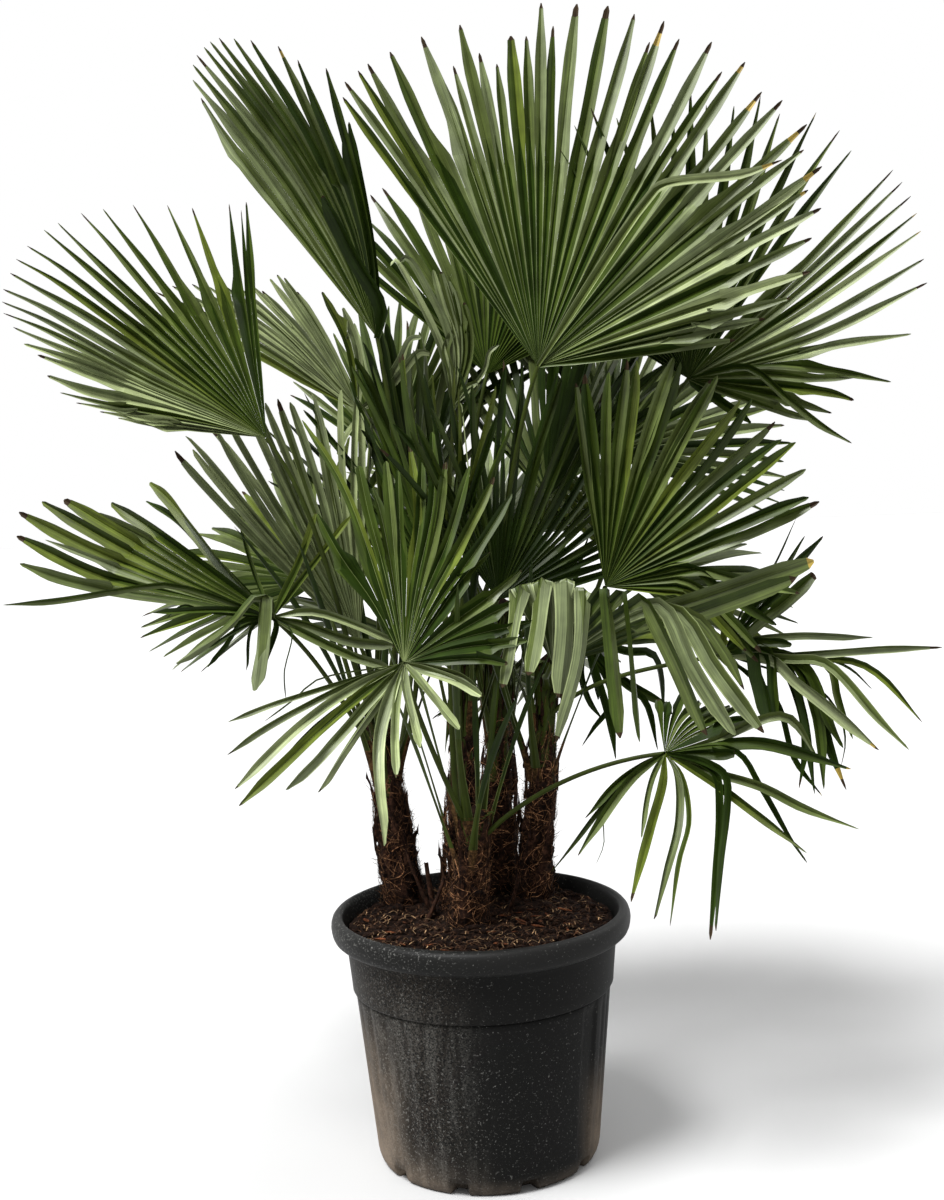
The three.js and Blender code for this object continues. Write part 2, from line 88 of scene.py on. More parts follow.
# Growing medium: its level and radius, the foot of its edge, the width of its lumps and the mound round
# each stem
SOIL_TOP = 0.415
SOIL_RADIUS = 0.2298
SOIL_SKIRT = 0.36
LUMP_SIZE = 0.035
MOUND_HEIGHT = 0.010
MOUND_RADIUS = 0.055
# What lies on it
CLODS = 1700
STRAWS = 1100
CHIPS = 46

# Stems: foot and tip of the axis, and the radii there
STEMS = {
    "left": dict(foot=(-0.138, 0.110), tip=(-0.172, 0.110, 0.805), radii=(0.031, 0.025)),
    "centre_rear": dict(foot=(-0.032, 0.060), tip=(-0.008, 0.062, 0.950), radii=(0.030, 0.024)),
    "front": dict(foot=(-0.024, -0.032), tip=(-0.004, -0.034, 0.610), radii=(0.026, 0.022)),
    "right_rear": dict(foot=(0.032, 0.178), tip=(0.056, 0.188, 0.950), radii=(0.034, 0.027)),
    "right": dict(foot=(0.095, 0.118), tip=(0.140, 0.116, 0.850), radii=(0.027, 0.023)),
}
# Dead stalks that stand between the stems, where they also put dark into the hollow that lies in shade there:
# foot, direction and length
STUBS = (
    ((-0.085, 0.050, 0.41), (-0.45, 0.0, 1.0), 0.105),
    ((-0.080, 0.030, 0.41), (-0.15, -0.1, 1.0), 0.085),
    ((-0.095, 0.015, 0.41), (0.55, 0.0, 1.0), 0.070),
    ((-0.070, 0.085, 0.41), (0.10, 0.1, 1.0), 0.095),
    ((0.050, 0.040, 0.41), (0.35, 0.0, 1.0), 0.060),
)
# Half the thickness of those stalks
STUB_HALF = 0.0065
# How much wider the stems are at the foot, and the height over which that fades
STEM_FLARE = 0.2
STEM_FLARE_HEIGHT = 0.045
# How much slimmer they are in their upper part, where only leaf stalks clad them, and the heights between
# which they become so
STEM_WAIST = 0.52
WAIST_FROM = 0.14
WAIST_TO = 0.36
# The height of their rounded top
CAP_HEIGHT = 0.016
# The height of one turn of the fibre mats
MAT_PITCH = 0.048
# Loose fibre: how far up it clads the stems, the radius it is wound at, and how far its ends lift off where
# it clings and where it is loose
FIBRE_TOP = 0.31
FIBRE_RADIUS = 0.036
FIBRE_CLOSE = 0.003
FIBRE_LOOSE = 0.020
# The height between one old leaf base and the next, and the angle between them
BASE_SPACING = 0.011
BASE_TURN = 2.4
# How far below a stem's tip the highest stalk starts, and the next below it
STALK_FIRST = 0.040
STALK_SPACING = 0.024
# Stalks: half the width and what it loses up to the hub, what the foot adds to it, half the depth and what
# that loses, and the rows of points along a stalk
STALK = dict(half_width=0.0060, taper=0.0020, foot=0.005, half_depth=0.0045, thinning=0.001, rows=22)
# The height from which green sheaths stand on the stems
SHEATH_LOWEST = 0.20
# Half the width of an unopened leaf at shares of its length, and its rows of points up to the folded blade
SPEAR_SHARES = (0, 0.1, 0.3, 0.45, 0.7, 0.9, 1.0)
SPEAR_HALVES = (0.010, 0.009, 0.0045, 0.0045, 0.008, 0.005, 0.0004)
SPEAR_ROWS = 16
SPEAR_STALK_ROWS = 7

# Fronds, from the top down. hub is where the leaflets meet the stalk. lean is the blade axis's angle from
# upright to the right, toward tips that axis to the front, and roll turns the blade about it. reach is the
# longest leaflet, and split the share of it that is fused. bow swings the stalk to one side. A fan with a
# count of leaflets follows the rule: span is the angle of the first and last of them, and edge how much
# shorter these two are. fold lifts each half of the fan, droop is the sag, and snap is (from, to, at, pull,
# kept) for leaflets that hang broken: their angles, where and how sharply they bend and the share left.
FRONDS = {
    "top": dict(stem="centre_rear", hub=(0.131, -0.04, 1.367), lean=28, reach=0.587, split=0.58),
    "upper_right": dict(stem="right", hub=(0.395, 0.06, 1.34), lean=60, reach=0.47, split=0.4, leaflets=20,
        span=(-120, -22), edge=(0.6, 0.0), fold=5, droop=0.08),
    "upper_left": dict(stem="left", hub=(-0.14, 0.06, 1.43), lean=-28, reach=0.52, split=0.5),
    "left": dict(stem="left", hub=(-0.325, -0.06, 1.265), lean=-45, reach=0.485, split=0.5, bow=-0.028),
    "left_rear": dict(stem="left", hub=(-0.185, 0.18, 1.31), lean=-58, reach=0.4, split=0.5),
    "grey": dict(stem="left", hub=(-0.195, 0.06, 0.9), lean=-22, roll=10, reach=0.45, split=0.4, bow=-0.014,
        leaflets=17, span=(-22, 30), edge=(0, 0.1)),
    "front_left": dict(stem="front", hub=(-0.105, -0.22, 0.9), lean=127, toward=58, reach=0.325, split=0.55),
    "front_right": dict(stem="right", hub=(0.13, -0.2, 0.89), lean=22, toward=12, reach=0.4, split=0.34),
    "mid_left": dict(stem="left", hub=(-0.33, -0.06, 0.965), lean=-65, reach=0.46, split=0.58),
    "centre": dict(stem="centre_rear", hub=(0.05, 0.0, 0.975), lean=8, roll=30, reach=0.4, split=0.33,
        leaflets=28, span=(-50, 75)),
    "mid_right": dict(stem="right", hub=(0.23, -0.06, 0.995), lean=26, reach=0.39, split=0.45, bow=-0.014,
        leaflets=22, span=(-38, 72), edge=(0.1, 0.2), snap=(48, 80, 0.45, 0.5, 0.9)),
    "right": dict(stem="right", hub=(0.435, 0.0, 0.865), lean=92, toward=10, reach=0.385, split=0.3),
    "low_right": dict(stem="front", hub=(0.315, -0.12, 0.72), lean=115, toward=30, reach=0.33, split=0.3),
    "centre_left": dict(stem="front", hub=(-0.045, 0.03, 0.985), lean=-14, roll=-35, reach=0.42, split=0.33,
        leaflets=22, span=(-50, 45)),
    "low_inner": dict(stem="right_rear", hub=(0.205, 0.11, 0.89), lean=150, reach=0.2, split=0.3, bow=-0.014),
    "silver": dict(stem="right_rear", hub=(-0.015, 0.17, 1.31), lean=-22, reach=0.33, split=0.45),
    "inner_left": dict(stem="left", hub=(-0.095, 0.15, 1.13), lean=-6, toward=-5, roll=55, reach=0.34,
        split=0.4, leaflets=17, span=(-45, 60), edge=(0.45, 0.1)),
    "inner_right": dict(stem="right_rear", hub=(0.15, 0.17, 1.14), lean=14, toward=-8, roll=-50, reach=0.36,
        split=0.4, bow=-0.028, leaflets=20, span=(-60, 60)),
    "rear_top": dict(stem="right_rear", hub=(0.05, 0.27, 1.37), lean=-4, toward=-25, reach=0.48, split=0.42,
        bow=-0.056, leaflets=25, span=(-45, 75), edge=(0.2, 0.2), fold=8),
    "rear_top_left": dict(stem="left", hub=(-0.14, 0.33, 1.21), lean=-20, toward=-42, reach=0.43, split=0.4,
        leaflets=22, span=(-30, 85), edge=(0.35, 0.2), fold=8, droop=0.08),
    "rear_top_right": dict(stem="right_rear", hub=(0.27, 0.33, 1.21), lean=35, toward=-38, reach=0.43,
        split=0.4, leaflets=28, span=(-80, 80), edge=(0.2, 0.2), fold=8, droop=0.08),
    "rear_left": dict(stem="left", hub=(-0.29, 0.31, 0.99), lean=-50, toward=-50, roll=20, reach=0.4,
        split=0.4, leaflets=30, span=(-100, 100), edge=(0.3, 0.3), fold=6, droop=0.12),
    "rear_mid": dict(stem="centre_rear", hub=(0.04, 0.43, 1.06), lean=0, toward=-65, reach=0.43, split=0.4,
        bow=-0.028, leaflets=32, span=(-100, 100), edge=(0.3, 0.3), fold=6, droop=0.12),
    "rear_right": dict(stem="right_rear", hub=(0.33, 0.36, 0.96), lean=60, toward=-50, roll=-20, reach=0.38,
        split=0.4, leaflets=30, span=(-100, 100), edge=(0.3, 0.3), fold=6, droop=0.15),
    "rear_low_left": dict(stem="left", hub=(-0.11, 0.43, 0.85), lean=-160, toward=-75, roll=180, reach=0.36,
        split=0.35, leaflets=30, span=(-120, 120), edge=(0.3, 0.3), fold=4, droop=0.15),
    "rear_low_right": dict(stem="right_rear", hub=(0.19, 0.47, 0.8), lean=160, toward=-75, roll=180,
        reach=0.34, split=0.35, leaflets=28, span=(-120, 120), edge=(0.3, 0.3), fold=4, droop=0.2),
}
# What holds for a fan unless its row says otherwise
USUAL_FAN = dict(toward=0, roll=0, edge=(0.1, 0.1), fold=10, droop=0.05, bow=0, snap=(1, 0, 0, 0, 1))
FRONDS = {name: USUAL_FAN | fan for name, fan in FRONDS.items()}

# Tones of the leaflets: colour, roughness and strength of the sheen. deep and dark are partly the leaflets'
# own darker green and partly painted shade; grey and light are partly their own paler green and partly
# painted sheen
TONES = dict(
    deep=((0.0105, 0.0205, 0.0020), 0.42, 0.10),
    dark=((0.0225, 0.0360, 0.0040), 0.42, 0.14),
    mid=((0.0520, 0.0690, 0.0165), 0.40, 0.24),
    olive=((0.0600, 0.0790, 0.0100), 0.45, 0.14),
    grey=((0.0960, 0.1170, 0.0500), 0.44, 0.28),
    light=((0.1680, 0.1980, 0.0880), 0.48, 0.28),
    yellow=((0.220, 0.160, 0.032), 0.55, 0.22),
    tip=((0.024, 0.015, 0.007), 0.75, 0.1),
    rib=((0.085, 0.110, 0.028), 0.45, 0.3),
)
# Roughness and sheen of the stalks
STALK_FINISH = (0.5, 0.08)
# The next darker tone: painted shade on a leaflet's part near the hub and on the half that faces away
# from the light
DARKER = dict(light="grey", grey="mid", mid="dark", olive="dark", dark="deep")
# Where the light comes from, for the painted shade of the half that faces away from it
LIGHT_FROM = np.array([-0.45, -0.40, 0.80])

# How a frond's leaflets look: the tones they take, how many steps darker they are painted near the hub as
# shade, the share with brown ends, the tones of the ribs, of the painted highlight along the margins of light
# and grey leaflets and of the painted highlight on the ridges between fused ones, the width, where they start
# to taper and how blunt they end, how deep they are folded and how loosely they stand
USUAL = dict(tones="mid dark olive", hub_shade_steps=0, ends=0.4, rib=None, highlight_rim=None, ridge_highlight=None, plump=1.0,
             point=0.55, blunt=0.25, pleat=1.0, loose=1.0)
FOLIAGE = {
    "top": dict(hub_shade_steps=2, ridge_highlight="grey", ends=0.9, point=0.6, pleat=0.9),
    "upper_right": dict(tones="mid dark dark", hub_shade_steps=1, ridge_highlight="grey", ends=0.6, plump=0.85, point=0.45,
                        blunt=0.2),
    "upper_left": dict(hub_shade_steps=1, ridge_highlight="mid", point=0.55, ends=0.6, pleat=0.8),
    "left": dict(hub_shade_steps=1, ridge_highlight="mid", ends=0.7, point=0.35),
    "left_rear": dict(highlight_rim="light", ridge_highlight="light", point=0.5, pleat=0.7),
    "grey": dict(tones="light grey grey", highlight_rim="light", ends=0.2, plump=1.2, point=0.8, blunt=0.6, loose=1.8),
    "front_left": dict(ends=0.45, rib="rib", highlight_rim="light", hub_shade_steps=1, pleat=0.9, point=0.66),
    "front_right": dict(ends=0.7, highlight_rim="light", hub_shade_steps=1, point=0.8, pleat=0.35),
    "mid_left": dict(ends=0.6, ridge_highlight="mid", hub_shade_steps=1, point=0.6, pleat=0.8),
    # The centre and inner fans take deep and dark tones: painted shade of the crown's middle
    "centre": dict(tones="deep dark deep dark", hub_shade_steps=1, ends=0.15, plump=1.1, point=0.78, blunt=0.45,
                   loose=2.4),
    "mid_right": dict(tones="dark mid olive mid", ridge_highlight="mid", hub_shade_steps=1, ends=0.4, plump=1.1, point=0.72,
                      blunt=0.4, loose=1.5),
    "right": dict(ends=0.6, highlight_rim="light", point=0.6),
    "low_right": dict(ends=0.5, point=0.5),
    "centre_left": dict(tones="dark deep dark olive", hub_shade_steps=1, ends=0.15, plump=1.05, point=0.78, blunt=0.45,
                        loose=2.4),
    "low_inner": dict(ends=0.2, point=0.6),
    "silver": dict(ends=0.3, point=0.7, pleat=0.6),
    "inner_left": dict(tones="deep deep dark mid", ends=0.1, plump=1.1, point=0.75, blunt=0.4, loose=2.0),
    "inner_right": dict(tones="deep deep dark mid", ends=0.1, plump=1.1, point=0.75, blunt=0.4, loose=2.0),
    "rear_top": dict(tones="dark mid olive", hub_shade_steps=1),
    "rear_top_left": dict(tones="dark grey mid", hub_shade_steps=1),
    "rear_top_right": dict(tones="dark grey mid", hub_shade_steps=1),
    "rear_left": dict(tones="mid olive grey", hub_shade_steps=1),
    "rear_mid": dict(tones="mid grey olive", hub_shade_steps=1),
    "rear_right": dict(tones="mid olive grey", hub_shade_steps=1),
    "rear_low_left": dict(tones="mid grey dark", hub_shade_steps=1),
    "rear_low_right": dict(tones="mid grey dark", hub_shade_steps=1),
}

# Leaflets that were measured one by one, clockwise from the front, in millimetres: tone, width, bluntness,
# 0 where a leaflet is free or from 1 the more it is fused to its neighbours, how far its tip lies behind
# the hub, and the places it runs through, each so far to the right of the hub and so far above it
DRAWN = {
    "mid_left": (
        ("grey", 16, 0.25, 0, -15, (128, -67), (198, -93)),
        ("grey", 18, 0.25, 0, 5, (54, -13), (128, -43), (205, -57)),
        ("light", 14, 0.25, 0, 13, (63, 8), (129, -14), (215, -58)),
        ("deep", 3, 0.3, 0, -43, (33, -21), (20, -89), (21, -134)),
        ("deep", 6, 0.2, 0, -43, (-33, -12), (-43, -83)), ("deep", 6, 0.2, 0, -40, (-49, 0), (-80, -53)),
        ("deep", 8, 0.2, 0, -60, (-52, -3), (-66, -25), (-103, -72)),
        ("deep", 5, 0.2, 0, -62, (-35, -7), (-105, -41)), ("dark", 11, 0.2, 0, -49, (8, -13), (-17, -85)),
        ("grey", 26, 0.3, 0, -95, (-5, 41), (-11, 48), (-18, -62), (-24, -109)),
        ("grey", 22, 0.45, 0, -91, (-10, 41), (-26, 44), (-68, 0), (-149, -59)),
        ("deep", 5, 0.2, 0, -78, (-105, 18), (-136, 31), (-162, 14)),
        ("dark", 11, 0.2, 0, -89, (-66, 18), (-182, 24)),
        ("mid", 11, 0.2, 0, -141, (-158, 67), (-235, 63), (-325, 53), (-409, 51)),
        ("mid", 20, 0.3, 1, -69, (-117, 33), (-244, 58), (-337, 84), (-398, 111)),
        ("olive", 22, 0.4, 1, -27, (-135, 41), (-281, 84), (-412, 154)),
        ("grey", 10, 0.2, 1, -2, (-136, 45), (-372, 145)),
        ("olive", 24, 0.4, 1, 25, (-129, 49), (-278, 115), (-420, 192)),
        ("olive", 22, 0.4, 1, 65, (-122, 54), (-266, 131), (-391, 207)),
        ("olive", 24, 0.5, 1, 91, (-115, 60), (-360, 208)),
        ("mid", 26, 0.7, 1, 112, (-116, 68), (-231, 141), (-311, 179)),
        ("olive", 22, 0.45, 1, 141, (-218, 153), (-290, 198)),
        ("dark", 12, 0.3, 0, 210, (-106, 94), (-175, 159), (-243, 197)),
        ("olive", 20, 0.35, 0, 199, (-66, 58), (-196, 202), (-232, 230)),
        ("olive", 8, 0.2, 0, 153, (-34, 69), (-57, 135), (-68, 194)),
        ("olive", 11, 0.3, 0, 114, (133, 162)), ("olive", 13, 0.3, 0, 94, (46, 91), (73, 169)),
    ),
    "front_left": (
        ("dark", 16, 0.3, 1, 78, (-44, 91), (-98, 172), (-134, 240)),
        ("olive", 14, 0.3, 1, 169, (-90, 275), (-160, 392)),
        ("dark", 18, 0.7, 1, 134, (-29, 145), (-53, 241), (-67, 313)),
        ("dark", 14, 0.4, 1, 141, (-17, 144), (-35, 240), (-47, 276)),
        ("mid", 18, 0.5, 1, 144, (-22, 319)), ("dark", 14, 0.4, 1, 144, (-3, 307)),
        ("olive", 14, 0.4, 1, 157, (16, 127), (28, 222), (17, 347)),
        ("dark", 16, 0.4, 1, 145, (14, 128), (31, 222), (38, 329)),
        ("dark", 18, 0.5, 1, 148, (25, 127), (55, 253), (56, 364)),
        ("mid", 16, 0.4, 1, 124, (32, 120), (61, 221), (77, 314)),
        ("dark", 16, 0.4, 1, 114, (36, 104), (76, 189), (116, 306)),
        ("olive", 16, 0.4, 1, 92, (44, 97), (104, 196), (154, 287)),
        ("dark", 16, 0.4, 1, 80, (52, 86), (127, 180), (182, 259)),
        ("dark", 14, 0.3, 1, 63, (110, 141), (143, 167)),
        ("mid", 14, 0.4, 1, 21, (75, 58), (140, 101), (191, 140)),
        ("dark", 13, 0.4, 1, 8, (139, 73), (209, 102)), ("deep", 15, 0.4, 1, -5, (74, 32), (207, 60)),
        ("dark", 16, 0.4, 1, -17, (73, 20), (195, 31)), ("dark", 15, 0.4, 1, -30, (120, 6), (163, -3)),
        ("light", 15, 0.5, 0, -75, (84, -24), (121, -45)),
        ("grey", 16, 0.4, 0, -62, (88, -17), (115, -36)), ("light", 14, 0.5, 0, -131, (84, -86)),
        ("light", 14, 0.3, 0, -151, (1, -35), (25, -108)),
        ("light", 13, 0.3, 0, -173, (-10, -42), (-14, -94), (-12, -147)),
        ("light", 21, 0.3, 0, -257, (-22, -35), (-42, -94), (-42, -157), (-29, -228)),
        ("light", 14, 0.3, 0, -178, (-38, -45), (-83, -99), (-128, -163)),
        ("grey", 16, 0.3, 0, -176, (-54, -48), (-106, -99), (-176, -158)),
        ("olive", 17, 0.25, 0, -193, (-64, -39), (-129, -85), (-187, -131), (-244, -176)),
        ("mid", 9, 0.25, 0, -160, (-137, -77), (-213, -151)),
        ("light", 15, 0.25, 0, -165, (-84, -32), (-152, -72), (-253, -156)),
        ("grey", 11, 0.25, 0, -118, (-88, -24), (-221, -83), (-269, -113)),
        ("grey", 9, 0.2, 0, -73, (-184, -43), (-272, -70)),
        ("mid", 3, 0.3, 0, -62, (-139, -16), (-169, -40), (-217, -73)),
    ),
    "front_right": (
        ("grey", 22, 0.6, 1, -49, (-48, 130), (-82, -30)),
        ("grey", 31, 0.5, 1, -56, (-14, 140), (-24, 70), (-41, -11)),
        ("grey", 34, 0.5, 1, -80, (25, 139), (21, 55), (6, -45)),
        ("grey", 24, 0.45, 1, -103, (52, 123), (41, 19), (-2, -109)),
        ("mid", 25, 0.4, 1, -110, (87, 123), (95, -106)),
        ("mid", 24, 0.4, 1, -119, (117, 119), (122, 17), (124, -111)),
        ("mid", 35, 0.45, 1, -122, (145, 104), (185, 11), (227, -104)),
        ("grey", 34, 0.45, 1, -124, (164, 95), (214, -4), (270, -105)),
        ("grey", 31, 0.4, 1, -126, (184, 87), (249, -9), (313, -103)),
        ("mid", 18, 0.3, 1, -87, (209, 78), (264, 16), (291, -42)),
        ("mid", 36, 0.5, 1, 6, (142, 63), (239, 91), (422, 146)),
        ("mid", 28, 0.45, 1, -3, (150, 50), (238, 72), (391, 121)),
        ("olive", 28, 0.3, 1, -2, (77, 17), (157, 43), (237, 53)),
    ),
    "right": (
        ("deep", 4, 0.3, 0, 136, (47, 79), (99, 132), (157, 221)),
        ("dark", 9, 0.3, 0, 115, (45, 68), (116, 131), (168, 191)),
        ("deep", 15, 0.3, 1, 90, (53, 68), (195, 191)),
        ("deep", 17, 0.4, 1, 84, (56, 59), (121, 113), (163, 156)),
        ("mid", 25, 0.6, 1, 34, (52, 46), (113, 87), (166, 130)),
        ("olive", 12, 0.8, 0, 60, (6, 36), (30, 83)),
        ("grey", 14, 0.2, 0, -33, (37, 22), (129, 31), (250, 24)),
        ("grey", 15, 0.3, 0, -96, (76, -3), (252, 10), (349, 11)),
        ("dark", 16, 0.5, 1, -46, (35, 24), (91, 23), (109, 18)),
        ("deep", 30, 0.7, 0, -79, (39, 21), (53, 12), (58, -40), (65, -107)),
        ("dark", 18, 0.6, 0, -73, (59, 12), (76, 0), (75, -56), (75, -98)),
        ("light", 24, 0.25, 0, -141, (81, -1), (118, -40), (176, -93), (230, -149)),
        ("grey", 16, 0.25, 0, -119, (107, -9), (161, -14), (243, -110), (285, -155)),
        ("olive", 12, 0.2, 0, -79, (126, -9), (215, -15), (255, -39), (319, -117)),
        ("deep", 5, 0.3, 0, -29, (162, -10), (212, -30), (248, -66)),
        ("mid", 13, 0.25, 0, -59, (127, -11), (174, -24), (186, -79), (207, -145)),
        ("deep", 14, 0.2, 0, -60, (90, -14), (124, -88), (130, -155), (114, -226)),
        ("deep", 16, 0.2, 0, -77, (101, -14), (131, -95), (137, -233)),
        ("dark", 20, 0.2, 0, -87, (113, -13), (144, -97), (150, -223)),
        ("deep", 18, 0.2, 0, -73, (121, -14), (168, -163), (191, -229)),
        ("dark", 18, 0.3, 0, -81, (124, -16), (166, -116), (185, -155)),
        ("deep", 4, 0.3, 0, -59, (158, -63), (192, -118), (195, -156), (186, -191)),
        ("deep", 10, 0.2, 0, -60, (83, -79), (111, -180), (153, -241)),
    ),
    "low_right": (
        ("dark", 15, 0.5, 1, 109, (4, 72)), ("deep", 15, 0.5, 1, 107, (10, 41), (21, 68)),
        ("dark", 15, 0.5, 1, 127, (22, 44), (52, 83)), ("mid", 15, 0.5, 1, 117, (31, 41), (77, 64)),
        ("dark", 15, 0.6, 1, 103, (40, 37), (94, 59)), ("mid", 13, 0.4, 1, 113, (46, 32), (128, 56)),
        ("dark", 13, 0.3, 1, 115, (48, 27), (156, 58)), ("mid", 14, 0.4, 1, 90, (54, 23), (158, 34)),
        ("deep", 13, 0.3, 1, 77, (118, 42), (176, 29)),
        ("grey", 16, 0.2, 1, 2, (76, 16), (199, 55), (258, -25)),
        ("dark", 22, 0.2, 1, -35, (74, 16), (163, 16), (300, -31)), ("dark", 20, 0.7, 1, -29, (112, 3)),
        ("deep", 10, 0.3, 0, -71, (113, 3), (150, -54), (193, -136), (218, -175)),
        ("mid", 15, 0.15, 0, -110, (63, -23), (148, -49), (207, -80), (294, -113)),
        ("olive", 14, 0.2, 0, -152, (53, -30), (138, -88), (201, -137)),
        ("deep", 13, 0.4, 0, -195, (54, -11), (77, -29), (77, -80), (40, -257)),
        ("deep", 13, 0.4, 0, -199, (61, -10), (92, -30), (90, -79), (72, -148), (49, -242)),
        ("olive", 9, 0.2, 0, -239, (23, -30), (26, -93), (1, -143), (-27, -219)),
        ("mid", 15, 0.4, 0, -243, (12, -30), (5, -90), (-27, -153), (-52, -206)),
        ("olive", 15, 0.3, 0, -227, (-10, -43), (-40, -99), (-84, -183)),
        ("mid", 10, 0.3, 0, -158, (-27, -26), (-44, -56), (-59, -101)),
        ("mid", 15, 0.2, 0, -165, (-60, -26), (-134, -97), (-159, -124)),
        ("dark", 12, 0.2, 0, -120, (-81, -29), (-143, -75)),
        ("dark", 10, 0.2, 0, -169, (-89, -44), (-201, -146)),
        ("deep", 3, 0.3, 0, -162, (-45, -11), (-112, -75), (-117, -115), (-131, -139)),
    ),
    "low_inner": (
        ("deep", 12, 0.3, 0, 30, (-6, -69), (7, -117), (29, -154)), ("deep", 12, 0.3, 0, 20, (22, -117)),
        ("deep", 14, 0.2, 0, 0, (41, -155), (49, -223)), ("dark", 18, 0.3, 0, 60, (45, -63), (160, -144)),
        ("deep", 16, 0.3, 0, 90, (74, -33), (121, -42), (149, -162)),
        ("deep", 12, 0.2, 0, 60, (63, -82), (108, -123), (132, -221)),
        ("deep", 10, 0.2, 0, 40, (47, -118), (14, -170), (-8, -204)),
        ("dark", 14, 0.3, 0, 110, (86, -14), (144, -20), (184, -53)),
    ),
    "left": (
        ("light", 8, 0.3, 1, -84, (-179, 29), (-226, 40)), ("light", 8, 0.3, 1, -91, (-253, 51)),
        ("light", 8, 0.3, 1, -99, (-95, 25), (-231, 53), (-288, 66)),
        ("grey", 8, 0.3, 1, -101, (-111, 33), (-254, 65), (-312, 83)),
        ("light", 17, 0.3, 1, -96, (-137, 49), (-277, 88), (-332, 111)),
        ("light", 16, 0.3, 1, -85, (-348, 145)), ("light", 16, 0.3, 1, -85, (-316, 143), (-369, 163)),
        ("light", 13, 0.25, 1, -78, (-95, 48), (-181, 86), (-265, 132), (-386, 191)),
        ("grey", 12, 0.2, 1, -73, (-95, 53), (-181, 96), (-340, 186), (-402, 214)),
        ("grey", 12, 0.25, 1, -65, (-95, 58), (-182, 104), (-341, 203), (-405, 233)),
        ("grey", 15, 0.25, 1, -53, (-92, 64), (-174, 114), (-343, 223), (-405, 254)),
        ("grey", 15, 0.25, 1, -35, (-260, 194), (-397, 281)),
        ("olive", 14, 0.2, 1, -20, (-253, 211), (-331, 270), (-390, 305)),
        ("mid", 14, 0.2, 1, -1, (-77, 75), (-317, 287), (-376, 328)),
        ("mid", 14, 0.2, 1, 24, (-137, 151), (-353, 356)),
        ("mid", 14, 0.2, 1, 39, (-66, 89), (-333, 369)),
        ("mid", 13, 0.2, 1, 63, (-61, 94), (-123, 168), (-244, 323), (-299, 387)),
        ("mid", 13, 0.2, 1, 82, (-55, 98), (-266, 395)),
        ("mid", 13, 0.2, 1, 107, (-46, 98), (-88, 167), (-183, 342), (-220, 404)),
        ("mid", 12, 0.2, 1, 131, (-60, 158), (-166, 405)),
        ("olive", 13, 0.25, 1, 146, (-49, 158), (-75, 254), (-126, 401)),
        ("dark", 13, 0.2, 1, 176, (-41, 237), (-66, 410)),
        ("deep", 8, 0.2, 1, 179, (-18, 111), (-46, 399)),
        ("dark", 13, 0.25, 1, 190, (-23, 237), (-38, 414)),
    ),
    "silver": (
        ("light", 14, 0.7, 0, 0, (-19, 111), (-91, 264), (-101, 254)),
        ("grey", 13, 0.7, 0, 0, (0, 119), (-36, 209), (-73, 268), (-84, 260)),
        ("light", 12, 0.5, 0, 0, (10, 110), (-11, 181), (-26, 244)),
        ("grey", 14, 0.6, 1, 0, (14, 110), (-12, 240)),
        ("grey", 14, 0.6, 1, 0, (19, 109), (14, 172), (0, 223)),
        ("mid", 14, 0.5, 1, 0, (26, 100), (12, 207)),
        ("mid", 12, 0.4, 1, 0, (34, 89), (36, 135), (27, 185)),
        ("light", 8, 0.3, 0, 0, (58, 60), (70, 95), (87, 107)),
        ("mid", 14, 0.3, 0, 0, (1, 57), (-9, 98), (3, 128), (13, 136)),
        ("light", 5, 0.3, 0, -60, (17, 11), (26, -131)),
        ("grey", 9, 0.3, 0, -60, (32, 37), (54, 41), (8, -34)),
    ),
    "left_rear": (
        ("olive", 15, 0.3, 1, 16, (-83, 47), (-168, 101), (-255, 151)),
        ("mid", 11, 0.3, 1, 24, (-227, 157), (-359, 227)),
        ("light", 12, 0.35, 1.17, 25, (-162, 128), (-329, 237)),
        ("light", 12, 0.35, 0.91, 24, (-152, 122), (-308, 225)),
        ("light", 12, 0.35, 0.97, 25, (-144, 129), (-293, 239)),
        ("light", 12, 0.35, 1.0, 25, (-129, 126), (-263, 233)),
        ("grey", 12, 0.35, 0.84, 25, (-117, 128), (-239, 237)),
        ("light", 12, 0.35, 1.04, 25, (-104, 126), (-212, 232)),
        ("light", 12, 0.35, 0.93, 25, (-93, 128), (-190, 237)),
        ("light", 12, 0.35, 1.01, 24, (-81, 120), (-167, 222)),
        ("light", 12, 0.35, 0.96, 26, (-74, 131), (-152, 243)),
        ("light", 12, 0.35, 0.93, 27, (-67, 134), (-139, 250)),
        ("grey", 12, 0.35, 1.11, 26, (-61, 131), (-126, 244)),
        ("light", 12, 0.35, 0.92, 24, (-50, 118), (-104, 218)),
        ("olive", 13, 0.4, 1, 24, (-15, 119), (-59, 216)),
        ("light", 14, 0.4, 1, 20, (2, 109), (-22, 186)),
        ("light", 15, 0.7, 0, -46, (36, 26), (79, 82), (102, 120), (119, 122)),
        ("light", 15, 0.7, 0, -49, (40, 22), (84, 66), (116, 98), (135, 95)),
        ("light", 13, 0.4, 0, -70, (6, -9), (-15, -38), (-36, -78)),
    ),
    "top": (
        ("olive", 15, 0.34, 1, 15, (-306, 452)), ("grey", 16, 0.34, 1, 22, (-164, 268), (-302, 478)),
        ("olive", 16, 0.34, 1, 35, (-280, 498)), ("grey", 18, 0.34, 1.15, 45, (-264, 511)),
        ("mid", 20, 0.34, 1.04, 63, (-127, 288), (-227, 533)),
        ("grey", 20, 0.34, 1.15, 84, (-92, 306), (-174, 561)), ("mid", 15, 0.34, 1.07, 79, (-143, 493)),
        ("grey", 14, 0.34, 1, 88, (-122, 512)), ("mid", 21, 0.34, 1.12, 104, (-108, 583)),
